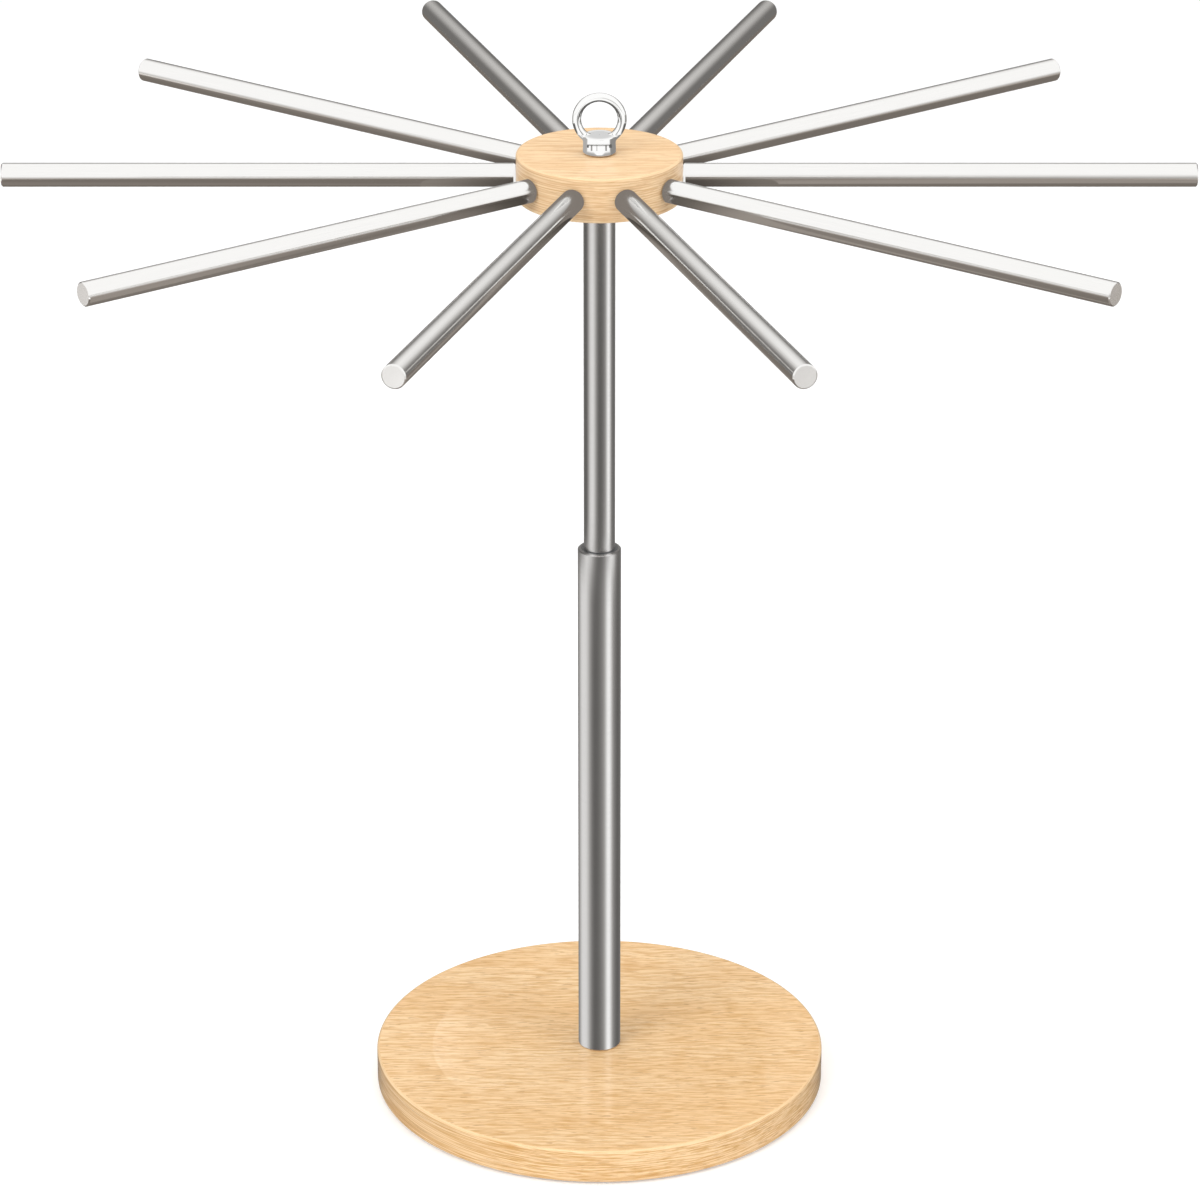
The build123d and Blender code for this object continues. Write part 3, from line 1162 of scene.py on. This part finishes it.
@dataclass(frozen=True)
class Rods:
    """The ten steel rods with their threaded tenons."""

    count: int = 10
    tenon_radius: float = 2.5 * MM
    tenon_chamfer: float = 0.5 * MM
    tenon_tip: float = 18.1 * MM
    tenon_length: float = 10.0 * MM
    shoulder_chamfer: float = 0.6 * MM
    tip_chamfer: float = 0.4 * MM
    edge_round: float = 0.06 * MM
    pitch: float = 0.8 * MM

    def rod(self, number: int) -> Mesh:
        """Turn one rod.

        Args:
            number: The rod's number, from 1.

        Returns:
            The rod's mesh.
        """
        low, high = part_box("rod_01")
        radius, thin, ease = (high.z - low.z) / 2, self.tenon_radius, self.edge_round
        start, shoulder, tip = self.tenon_tip, self.tenon_tip + self.tenon_length, high.x
        corners = path(
            (0, start), (thin - self.tenon_chamfer, start), (thin, start + self.tenon_chamfer),
            (thin, shoulder), (radius - self.shoulder_chamfer, shoulder, ease),
            (radius, shoulder + self.shoulder_chamfer, ease), (radius, tip - self.tip_chamfer, ease),
            (radius - self.tip_chamfer, tip, ease), (0, tip),
        )
        stand = outward(360 / self.count * (number - 1), (low.z + high.z) / 2)
        turned = Turned(corners, columns=96, thread=Thread(start, shoulder, self.pitch))
        return turned.mesh(f"steel_rod_{number:02d}", stand)

    def build(self, finishes: Finishes) -> None:
        """Make and dress every rod."""
        for number in range(1, self.count + 1):
            show(f"steel_rod_{number:02d}", f"rod_{number:02d}", self.rod(number), finishes.rod_steel)


def overlap(a: Array, b: Array, ease: float) -> Array:
    """Return the distance from two solids' overlap, its edges rounded.

    It is min(-k, max(a, b)) + length(max(a + k, 0), max(b + k, 0)), with k the edge's radius.
    """
    return np.minimum(-ease, np.maximum(a, b)) + np.hypot(np.maximum(a + ease, 0), np.maximum(b + ease, 0))


def union(a: Array, b: Array, ease: float) -> Array:
    """Return the distance from two solids together, the valley between them rounded.

    It is max(k, min(a, b)) - length(max(k - a, 0), max(k - b, 0)), with k the valley's radius.
    """
    return np.maximum(ease, np.minimum(a, b)) - np.hypot(np.maximum(ease - a, 0), np.maximum(ease - b, 0))


@dataclass(frozen=True)
class EyeNut:
    """The polished eye nut: a turned collar with a blind hole, and a ring that grows out of it."""

    collar_foot_radius: float = 5.55 * MM
    collar_top_radius: float = 5.35 * MM
    collar_height: float = 6.2 * MM
    foot_round: float = 0.5 * MM
    shoulder_round: float = 0.55 * MM
    section_radius: float = 1.5 * MM
    blend_round: float = 0.6 * MM
    hole_radius: float = 2.55 * MM
    hole_depth: float = 5.4 * MM
    hole_round: float = 0.15 * MM
    cell: float = 0.14 * MM
    settle_steps: int = 8

    def distance(self, points: Array) -> Array:
        """Measure how far points lie outside the nut.

        The ring is a torus across Y: the length of (distance from the ring's centre in XZ less the
        ring's radius, y), less the section's radius. The collar is the overlap of a cone, a top plane
        and a foot plane, and the hole is a cylinder.

        Args:
            points: Rows of places in the frame.

        Returns:
            The distance of each, below zero inside.
        """
        low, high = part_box("eye_nut")
        ring_radius = high.x - self.section_radius
        centre = high.z - high.x
        x, y, z = points.T
        ring = np.hypot(np.hypot(x, z - centre) - ring_radius, y) - self.section_radius
        across = np.hypot(x, y)
        slope = (self.collar_foot_radius - self.collar_top_radius) / self.collar_height
        wall = (across - self.collar_foot_radius + slope * (z - low.z)) / math.hypot(1, slope)
        collar = overlap(wall, z - low.z - self.collar_height, self.shoulder_round)
        collar = overlap(collar, low.z - z, self.foot_round)
        hole = np.maximum(across - self.hole_radius, z - low.z - self.hole_depth)
        return overlap(union(ring, collar, self.blend_round), -hole, self.hole_round)

    def slope_of(self, points: Array) -> Array:
        """Return the gradient of the distance, by central differences of a hundredth of a cell."""
        step = self.cell / 100
        shifts = step * np.eye(3)
        sides = [self.distance(points + shift) - self.distance(points - shift) for shift in shifts]
        return np.column_stack(sides) / (2 * step)

    def rough_mesh(self) -> Mesh:
        """Join a plain ring and a plain collar into one even skin.

        The ring's point at angles a round it and b round its section lies at distance R + r cos b
        from the centre. The collar is turned from its corners.

        Returns:
            A voxel skin near the nut's surface.
        """
        low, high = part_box("eye_nut")
        ring_radius, centre = high.x - self.section_radius, high.z - high.x
        a = np.linspace(0, 2 * math.pi, 160, endpoint=False)[:, None]
        b = np.linspace(0, 2 * math.pi, 48, endpoint=False)[None, :]
        reach = ring_radius + self.section_radius * np.cos(b)
        torus = np.stack((reach * np.cos(a), -self.section_radius * np.sin(b) + 0 * a,
                          centre + reach * np.sin(a)), axis=-1)
        top, floor = low.z + self.collar_height, low.z + self.hole_depth
        collar = Turned(path(
            (0, floor), (self.hole_radius, floor), (self.hole_radius, low.z),
            (self.collar_foot_radius, low.z, self.foot_round),
            (self.collar_top_radius, top, self.shoulder_round), (0, top),
        ))
        shells = joined("nut_shells", (collar.mesh("collar"), skin("ring", torus, True, {})))
        return modified(shells, "REMESH", mode="VOXEL", voxel_size=self.cell, adaptivity=0.0)

    def mesh(self) -> Mesh:
        """Settle the rough skin on the nut's exact surface.

        Each point moves by minus its distance times the gradient, divided by the gradient's square,
        a few times over.

        Returns:
            The nut's mesh, with the attribute turning (the place about the nut's seat).
        """
        mesh = self.rough_mesh()
        mesh.name = "polished_eye_nut"
        points = np.zeros(3 * len(mesh.vertices))
        mesh.vertices.foreach_get("co", points)
        points = points.reshape(-1, 3)
        for _ in range(self.settle_steps):
            slope = self.slope_of(points)
            square = np.maximum((slope ** 2).sum(axis=1), LEAST_SLOPE_SQUARE)
            points = points - (self.distance(points) / square)[:, None] * slope
        mesh.vertices.foreach_set("co", points.ravel())
        turning = mesh.attributes.new("turning", "FLOAT_VECTOR", "POINT")
        about_seat = (points - np.array(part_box("eye_nut")[0])).astype(np.float32)
        turning.data.foreach_set("vector", about_seat.ravel())
        mesh.update()
        return smooth(mesh)

    def build(self, finishes: Finishes) -> None:
        """Make and dress the nut."""
        show("polished_eye_nut", "eye_nut", self.mesh(), finishes.nut_steel)


# Studio


@dataclass(frozen=True)
class Glow:
    """A soft patch of light among the dark surroundings that metal reflects.

    Bearings are degrees from the camera's side, to the right. The patch is even over half_width on
    either side of its middle and fades over about fade degrees more.
    """

    bearing: float
    half_width: float
    fade: float
    level: float

    def over(self, bearing: Array) -> Array:
        """Work out the patch's brightness over bearings.

        It is the level times e to the power of minus the square of (degrees past the even part / fade).

        Args:
            bearing: Bearings in degrees.

        Returns:
            The brightness at each.
        """
        off = np.abs(np.mod(bearing - self.bearing + 180, 360) - 180)
        return self.level * np.exp(-(np.maximum(off - self.half_width, 0) / self.fade) ** 2)


def card(name: str, grid: Array, level: Array, tint: Colour, wraps: bool = True) -> None:
    """Stage a card that only reflections see, and only from the side that its faces point to.

    Args:
        name: The card's name.
        grid: Points by row and column.
        level: The brightness by row and column.
        tint: The colour of its darkest parts, which goes over to white where the level is 1.
        wraps: Whether the last column joins the first.
    """
    mesh = skin(name, grid, False, {"level": level}, wraps)
    net = new_material(f"{name}_light")
    bright = net.read("level")
    colour = net.blend(bright, tint, grey(1.0))
    light = net.add("Emission", {"Color": colour, "Strength": bright})
    behind = net.add("NewGeometry").outputs["Backfacing"]
    clear = net.add("BsdfTransparent")
    one_sided = net.add("MixShader", {0: behind, 1: light.outputs[0], 2: clear.outputs[0]})
    mesh.materials.append(close_material(net, one_sided))
    staged = placed(name, mesh)
    staged.visible_camera = staged.visible_diffuse = staged.visible_transmission = False
    staged.visible_shadow = staged.visible_volume_scatter = False


def reflector(name: str, rows: Array, level: Array, tint: Colour) -> None:
    """Stage a card that goes round the pole's axis.

    With its rows taken downwards it is bright towards the pole, and with its rows taken inwards it is
    bright upwards.

    Args:
        name: The card's name.
        rows: Rows of distance from the pole's axis and height.
        level: The brightness by row and column, with columns at even angles anticlockwise from +X.
        tint: The colour of its darkest parts.
    """
    angle = np.linspace(0, 2 * math.pi, level.shape[1], endpoint=False)[None, :]
    reach, lift = rows[:, 0, None], rows[:, 1, None]
    grid = np.stack((reach * np.cos(angle), reach * np.sin(angle), lift + 0 * angle), axis=-1)
    card(name, grid, level, tint)


def soft_step(value: Array, low: float, high: float) -> Array:
    """Rise from 0 at low to 1 at high as 3t squared less 2t cubed."""
    share = np.clip((value - low) / (high - low), 0, 1)
    return share * share * (3 - 2 * share)


def level_rows(reach: Array, height: float) -> Array:
    """Return a level card's rows: distances from the pole's axis, all at one height."""
    return np.column_stack((reach, np.full(len(reach), height)))


def answering_normal(bearing: Array, radius: float, reach: Array) -> Array:
    """Find where a round wall answers the points of a card round it.

    Where the wall's normal is at angle n, the reflected ray runs at bearing 2n from the wall's side,
    not from its axis. So a point at bearing b and some reach answers 2n = b + arcsin(radius * sin n /
    reach), which is found in a few rounds.

    Args:
        bearing: The points' bearings in radians.
        radius: The wall's radius.
        reach: The points' distances from the axis.

    Returns:
        The normal's angle for each point, in radians.
    """
    normal = bearing / 2 + 0 * reach
    for _ in range(SEARCH_ROUNDS):
        normal = (bearing + np.arcsin(np.clip(radius * np.sin(normal) / reach, -1, 1))) / 2
    return normal


@dataclass(frozen=True)
class Lamp:
    """A soft square lamp that faces the rack."""

    name: str
    place: Triple
    side: float
    watts: float

    def build(self, aim: Vector) -> None:
        """Place the lamp and turn it to a point."""
        light = bpy.data.lights.new(self.name, "AREA")
        light.shape, light.size, light.energy = "SQUARE", self.side, self.watts
        lamp = placed(self.name, light)
        lamp.location = self.place
        lamp.rotation_euler = (aim - Vector(self.place)).to_track_quat("-Z", "Y").to_euler()
        lamp.visible_glossy = False


@dataclass(frozen=True)
class Studio:
    """The pale floor, the light, the reflected surroundings and the camera.

    Ramps are where a brightness starts and ends its rise: in front and behind in degrees above the
    rods' horizon, at the side in bearings, on the table and on the pole in metres.
    """

    floor_size: float = 12.0
    floor_grey: float = 0.8
    floor_lift: float = 0.3
    ambient: float = 0.55
    camera_place: Triple = (0.0002, -1.6022, 0.8784)
    camera_tilt_deg: float = 66.72
    camera_lens: float = 150.97
    camera_sensor: float = 36.0
    camera_clip: Pair = (0.05, 50.0)
    lamps: tuple[Lamp, ...] = (
        Lamp("key_lamp", (-1.3, -1.5, 1.9), 1.4, 27.0),
        Lamp("fill_lamp", (1.6, -1.2, 1.3), 1.4, 12.0),
        Lamp("top_lamp", (0.1, 0.3, 2.2), 1.6, 17.0),
        Lamp("front_lamp", (0.1, -2.2, 0.55), 1.2, 5.5),
    )
    columns: int = 360
    sight_drop: float = math.tan(math.radians(23.28))
    cup_radius: float = 0.06
    seam_ramp: float = 5.0 * MM
    dome_radius: float = 1.25
    sky_span_deg: Pair = (86.0, -15.0)
    dark: float = 0.1
    ground: float = 0.16
    card_gap: float = 0.0002
    pole_tint: Colour = (1.04, 1.0, 0.96, 1.0)
    table_tint: Colour = (1.16, 1.0, 0.86, 1.0)
    lower_glows: tuple[Glow, ...] = (
        Glow(-93, 10, 30, 0.74), Glow(52, 3, 15, 0.68), Glow(50, 0, 40, 0.32), Glow(180, 15, 30, 0.12),
    )
    upper_glows: tuple[Glow, ...] = (
        Glow(-57, 4, 28, 0.76), Glow(72, 3, 15, 0.68), Glow(70, 0, 36, 0.3), Glow(180, 15, 30, 0.12),
    )
    table_glows: tuple[Glow, ...] = (Glow(34, 16, 12, 0.12), Glow(-75, 10, 20, 0.04))
    far_glows: tuple[Glow, ...] = (
        Glow(-33, 5, 6, 1.0), Glow(33, 5, 6, 0.63), Glow(-98, 6, 8, 0.57), Glow(98, 6, 8, 0.12),
    )
    far_ramps: tuple[Pair, Pair] = ((0.72, 0.84), (1.14, 1.22))
    front_ramp: Pair = (-27.0, 2.0)
    front_lift: Glow = Glow(16, 9, 7, 26.0)
    back_ramp: Pair = (5.0, 42.0)
    side_ramp: Pair = (95.0, 130.0)
    lid_shade: float = 0.35
    wrap_shade: float = 0.2
    wrap_ramp: Pair = (65.0, 85.0)

    def white_for_rays(self, net: Wiring) -> NodeSocket:
        """Return 1 for the rays that see the backdrop: from the camera, off gloss and through glass."""
        rays = net.add("LightPath").outputs
        seen = net.sum("MAXIMUM", rays["Is Camera Ray"], rays["Is Glossy Ray"])
        return net.sum("MAXIMUM", seen, rays["Is Transmission Ray"])

    def backdrop(self) -> None:
        """Make the world white to look at and plain grey as a light."""
        world = bpy.data.worlds.new("studio")
        bpy.context.scene.world = world
        world.use_nodes = True
        net = Wiring(world.node_tree)
        level = net.spread(self.white_for_rays(net), self.ambient, 1.0)
        light = net.add("Background", {"Color": grey(1.0), "Strength": level})
        net.add("OutputWorld", {"Surface": light.outputs[0]})

    def floor(self) -> None:
        """Lay the floor: matt, pale, and lifted towards white for the rays that look at it."""
        half = self.floor_size / 2
        corners = [(-half, -half, 0), (half, -half, 0), (half, half, 0), (-half, half, 0)]
        mesh = bpy.data.meshes.new("floor")
        mesh.from_pydata(corners, [], [(0, 1, 2, 3)])
        net = new_material("floor_white")
        matt = net.add("BsdfDiffuse", {"Color": grey(self.floor_grey)})
        lift = net.spread(self.white_for_rays(net), 0.0, self.floor_lift)
        light = net.add("Emission", {"Color": grey(1.0), "Strength": lift})
        both = net.add("AddShader", {0: matt.outputs[0], 1: light.outputs[0]})
        mesh.materials.append(close_material(net, both))
        placed("floor", mesh)

    def bearings(self) -> Array:
        """Return the bearing of each column of a card, from -180 to 180 degrees."""
        turn = np.arange(self.columns)[None, :] * 360 / self.columns + 90
        return np.mod(turn + 180, 360) - 180

    def pole_cup(self) -> None:
        """Stand a cup round the pole for it to reflect: a wall, and a floor just above the board.

        A ray that the pole sends back drops by the camera's slope, so a point of the cup answers the
        pole's point that is higher by the slope times the distance. Below the seam the lower tube's
        patches hold there, and above it the upper tube's.
        """
        low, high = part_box("lower_tube")
        wall = np.linspace(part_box("hub")[0].z - self.card_gap, low.z + self.card_gap, 60)
        floor = np.linspace(self.cup_radius, high.x + self.card_gap, 40)[1:]
        rows = np.vstack((np.column_stack((np.full(len(wall), self.cup_radius), wall)),
                          level_rows(floor, wall[-1])))
        answers = rows[:, 1] + self.sight_drop * rows[:, 0]
        upper = soft_step(answers, high.z - self.seam_ramp, high.z + self.seam_ramp)[:, None]
        normal = answering_normal(np.radians(self.bearings()), high.x, rows[:, 0, None])
        lower_light, upper_light = (sum(glow.over(np.degrees(2 * normal)) for glow in glows)
                                    for glows in (self.lower_glows, self.upper_glows))
        level = self.dark + (1 - upper) * lower_light + upper * upper_light
        reflector("pole_cup", rows, level, self.pole_tint)

    def around(self, up_deg: Array, bearing: Array) -> Array:
        """Work out how bright the rods' surroundings are.

        The dark goes over to white in one ramp in front, which reaches higher a little to the right of
        the middle, and in another behind. Between, the share of the one goes over to the other.

        Args:
            up_deg: Degrees above the rods' horizon.
            bearing: Bearings in degrees.

        Returns:
            The brightness, from dark to 1.
        """
        start, end = self.front_ramp
        front = soft_step(up_deg, start, end + self.front_lift.over(bearing))
        behind = soft_step(np.abs(bearing), *self.side_ramp)
        white = behind * soft_step(up_deg, *self.back_ramp) + (1 - behind) * front
        near = self.ground + sum(glow.over(bearing) for glow in self.table_glows)
        return near + (1 - near) * white

    def table(self) -> None:
        """Lay the dark ground that the rods reflect: table, board, the cup's outside and its lid.

        The table's far part has brighter patches for the rods' end faces. The lid darkens towards
        the hub.
        """
        board, hub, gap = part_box("base_disc")[1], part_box("hub"), self.card_gap
        reach = np.linspace(self.dome_radius, board.x + gap, 48)
        down = -np.degrees(np.arctan(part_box("rod_01")[0].z / reach))[:, None]
        near, far = (soft_step(reach, *ramp)[:, None] for ramp in self.far_ramps)
        bearing = self.bearings()
        patches = near * (1 - far) * sum(glow.over(bearing) for glow in self.far_glows)
        ground = self.around(down, bearing) + patches
        lid = np.linspace(self.cup_radius + gap, hub[1].x + gap, 12)
        rows = np.vstack((
            level_rows(reach, gap),
            level_rows(np.array((board.x, self.cup_radius)) + gap, board.z + gap),
            level_rows(lid, hub[0].z - gap / 2),
        ))
        shade = soft_step(lid, hub[1].x, self.cup_radius)[:, None]
        shade = self.lid_shade + (1 - self.lid_shade) * shade
        level = np.vstack((ground, ground[-1:], ground[-1:], ground[-1:] * shade))
        reflector("table_card", rows, level, self.table_tint)

    def dome(self) -> None:
        """Stand a sky round the rack, from the table's edge almost to the zenith."""
        lift_deg = np.linspace(*self.sky_span_deg, 102)
        lift = np.radians(lift_deg)
        rows = np.column_stack((self.dome_radius * np.cos(lift),
                                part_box("rod_01")[0].z + self.dome_radius * np.sin(lift)))
        reflector("sky_card", rows, self.around(lift_deg[:, None], self.bearings()), self.pole_tint)

    def hub_wrap(self) -> None:
        """Wrap the hub's side in a thin card whose painted reflection the rods' roots show: painted shade
        in front, light beside.
        """
        low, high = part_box("hub")
        reach = high.x + self.card_gap / 4
        beside = soft_step(np.abs(self.bearings()), *self.wrap_ramp)
        level = np.repeat(self.wrap_shade + (1 - self.wrap_shade) * beside, 2, axis=0)
        reflector("hub_wrap", np.array(((reach, low.z), (reach, high.z))), level, self.table_tint)

    def camera(self) -> None:
        """Set up the camera at the photograph's place."""
        lens = bpy.data.cameras.new("camera")
        lens.lens, lens.sensor_width, lens.sensor_fit = self.camera_lens, self.camera_sensor, "HORIZONTAL"
        lens.clip_start, lens.clip_end = self.camera_clip
        camera = placed("camera", lens)
        camera.location = self.camera_place
        camera.rotation_euler = (math.radians(self.camera_tilt_deg), 0, 0)
        bpy.context.scene.camera = camera

    def build(self) -> None:
        """Make the studio."""
        bpy.context.scene.view_settings.view_transform = "Standard"
        for step in (self.backdrop, self.floor, self.pole_cup, self.table, self.dome, self.hub_wrap):
            step()
        NutLight().build(self)
        middle = Vector((0, 0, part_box("lower_tube")[1].z))
        for lamp in self.lamps:
            lamp.build(middle)
        self.camera()


@dataclass(frozen=True)
class NutLight:
    """The cards that the eye nut reflects: one on the hub, one above the collar and one on the collar.

    Heights are above the nut's seat. The bars and posts are like those of a window. Bearings of posts
    are twice the bearing of the wall's normal where they show, in degrees. edge is half the width of
    most of the ramps between light and dark.
    """

    reach: float = 0.12
    near_reach: float = 28.0 * MM
    coarse_step: float = 0.5 * MM
    collar_radius: float = 5.55 * MM
    collar_height: float = 6.2 * MM
    wall_taper: float = 0.0323
    bar_height: float = 4.02 * MM
    bar_sag: float = 1.47 * MM
    bar_thickness: float = 0.21 * MM
    bar_shade: float = 0.85
    bar_ends: Pair = (94.0, 98.0)
    posts: tuple[Glow, ...] = (Glow(-57, 2, 4, 0.75), Glow(-18, 1, 3, 0.4), Glow(48, 2, 4, 0.8))
    post_drop: float = 1.85 * MM
    blocks: tuple[Glow, ...] = (Glow(-89, 6, 3, 0.9), Glow(84, 8, 4, 0.9))
    block_drop: float = 0.8 * MM
    foot_heights: Pair = (0.8 * MM, 1.95 * MM)
    foot_starts: Pair = (12.0, 45.0)
    foot_even: float = 0.4
    foot_shade: float = 0.6
    side_shades: Pair = (0.58, 0.74)
    side_starts: Pair = (88.0, 72.0)
    side_fade: float = 16.0
    darkest: float = 0.12
    ring_half: Pair = (18.0 * MM, 26.0 * MM)
    strip_half: float = 5.5 * MM
    strip_fronts: Pair = (6.5 * MM, 19.0 * MM)
    strip_bend: Pair = (0.32 * MM, 1.2 * MM)
    wing: Pair = (6.8 * MM, 17.0 * MM)
    wing_fronts: Pair = (0.4 * MM, 6.0 * MM)
    wing_slope: float = 0.85
    back_start: float = 4.0 * MM
    back_shade: float = 0.85
    edge: float = 0.8 * MM
    top_light: Pair = (0.66, 0.88)
    top_reach: Pair = (0.2 * MM, 5.2 * MM)
    top_rim: float = 3.4 * MM

    def wall_card(self, studio: Studio) -> None:
        """Lay the card on the hub that the collar's wall reflects.

        The height that a point answers is the run from wall to point times the ray's slope. That a
        level bar looks level, its height falls by bar_sag * (1 - cos n), with n the normal's angle.

        Args:
            studio: The studio, for the sight line, the columns and the tint.
        """
        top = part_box("hub")[1].z + studio.card_gap
        wall = self.collar_radius
        reach = np.concatenate((np.linspace(self.reach, self.near_reach + self.coarse_step, 12),
                                np.linspace(self.near_reach, wall, 200)))
        rows, reach = level_rows(reach, top), reach[:, None]
        normal = answering_normal(np.radians(studio.bearings()), wall, reach)
        run = np.sqrt(reach ** 2 - (wall * np.sin(normal)) ** 2) - wall * np.cos(normal)
        low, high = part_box("eye_nut")
        sight = math.atan2(studio.camera_place[2] - (low.z + high.z) / 2, -studio.camera_place[1])
        down = math.sin(sight) - 2 * math.cos(sight) * self.wall_taper * np.cos(normal)
        height = run * down / np.sqrt(1 - down ** 2) + top - low.z
        twice = np.degrees(2 * normal)
        aside = np.abs(twice)
        bar = self.bar_height - self.bar_sag * (1 - np.cos(normal))
        shade = self.bar_shade * np.exp(-((height - bar) / self.bar_thickness) ** 2)
        shade = shade * (1 - soft_step(aside, *self.bar_ends))
        for glows, drop in ((self.posts, self.post_drop), (self.blocks, self.block_drop)):
            hung = (height < bar) * soft_step(height, bar - drop - self.edge / 5, bar - drop)
            shade = shade + hung * sum(glow.over(twice) for glow in glows)
        foot_low, foot_high = self.foot_heights
        foot_top = foot_low + (foot_high - foot_low) * soft_step(aside, *self.foot_starts)
        foot = self.foot_shade * (1 - soft_step(height, self.foot_even * foot_top, foot_top))
        left, right = (part * soft_step(angle, start, start + self.side_fade)
                       for part, angle, start in zip(self.side_shades, (-twice, twice), self.side_starts))
        level = 1 - shade - np.maximum(foot, left + right)
        reflector("nut_card", rows, np.clip(level, self.darkest, 1.0), studio.pole_tint)

    def ring_card(self, studio: Studio) -> None:
        """Hang a card level with the collar's top, bright upwards, for the ring to reflect.

        A dark strip under the hole answers the ring's inner side: it reaches less far forward in the
        middle, which answers the ring's top. Dark wings beside it answer the ring's lower outer sides,
        and the dark behind it the outlines.

        Args:
            studio: The studio, for the gap and the tint.
        """
        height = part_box("eye_nut")[0].z + self.collar_height + studio.card_gap
        x = np.linspace(-self.ring_half[0], self.ring_half[0], 97)[None, :]
        y = np.linspace(-self.ring_half[1], self.ring_half[1], 105)[:, None]
        aside, edge = np.abs(x), self.edge
        near, far = self.strip_fronts
        front = near + (far - near) * soft_step(aside, *self.strip_bend)
        strip = 1 - soft_step(aside, self.strip_half - edge, self.strip_half + edge)
        strip = strip * soft_step(y + front, -2 * edge, 0)
        start, end = self.wing
        wings = soft_step(aside, start - edge, start + edge)
        wings = wings * (1 - soft_step(aside, end - edge, end + edge))
        front = np.minimum(self.wing_fronts[0] + self.wing_slope * (aside - start), self.wing_fronts[1])
        wings = wings * soft_step(y + front, -edge, edge)
        back = self.back_shade * soft_step(y, self.back_start, self.back_start + 4 * edge)
        level = 1 - (1 - self.darkest) * np.maximum(np.maximum(strip, wings), back)
        grid = np.stack(np.broadcast_arrays(x, y, height), axis=-1)
        card("ring_card", grid, level, studio.pole_tint, wraps=False)

    def top_card(self, studio: Studio) -> None:
        """Lay a pale disc just over the collar's flat top, bright downwards, for that top to reflect."""
        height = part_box("eye_nut")[0].z + self.collar_height + 0.75 * studio.card_gap
        reach = np.linspace(*self.top_reach, 12)
        middle, rim = self.top_light
        pale = middle + (rim - middle) * soft_step(reach, self.top_rim, self.top_reach[1])[:, None]
        reflector("collar_light", level_rows(reach, height), pale + 0 * studio.bearings(), grey(1.0))

    def build(self, studio: Studio) -> None:
        """Stage the three cards."""
        for stage_card in (self.wall_card, self.ring_card, self.top_card):
            stage_card(studio)


def main() -> None:
    """Build the rack and its studio."""
    logging.basicConfig(level=logging.INFO, format="%(name)s: %(message)s")
    finishes = Finishes()
    for part in (Base(), Pole(), Hub(), Rods(), EyeNut()):
        part.build(finishes)
        log.info("%s done", type(part).__name__)
    Studio().build()


if __name__ == "__main__":
    main()
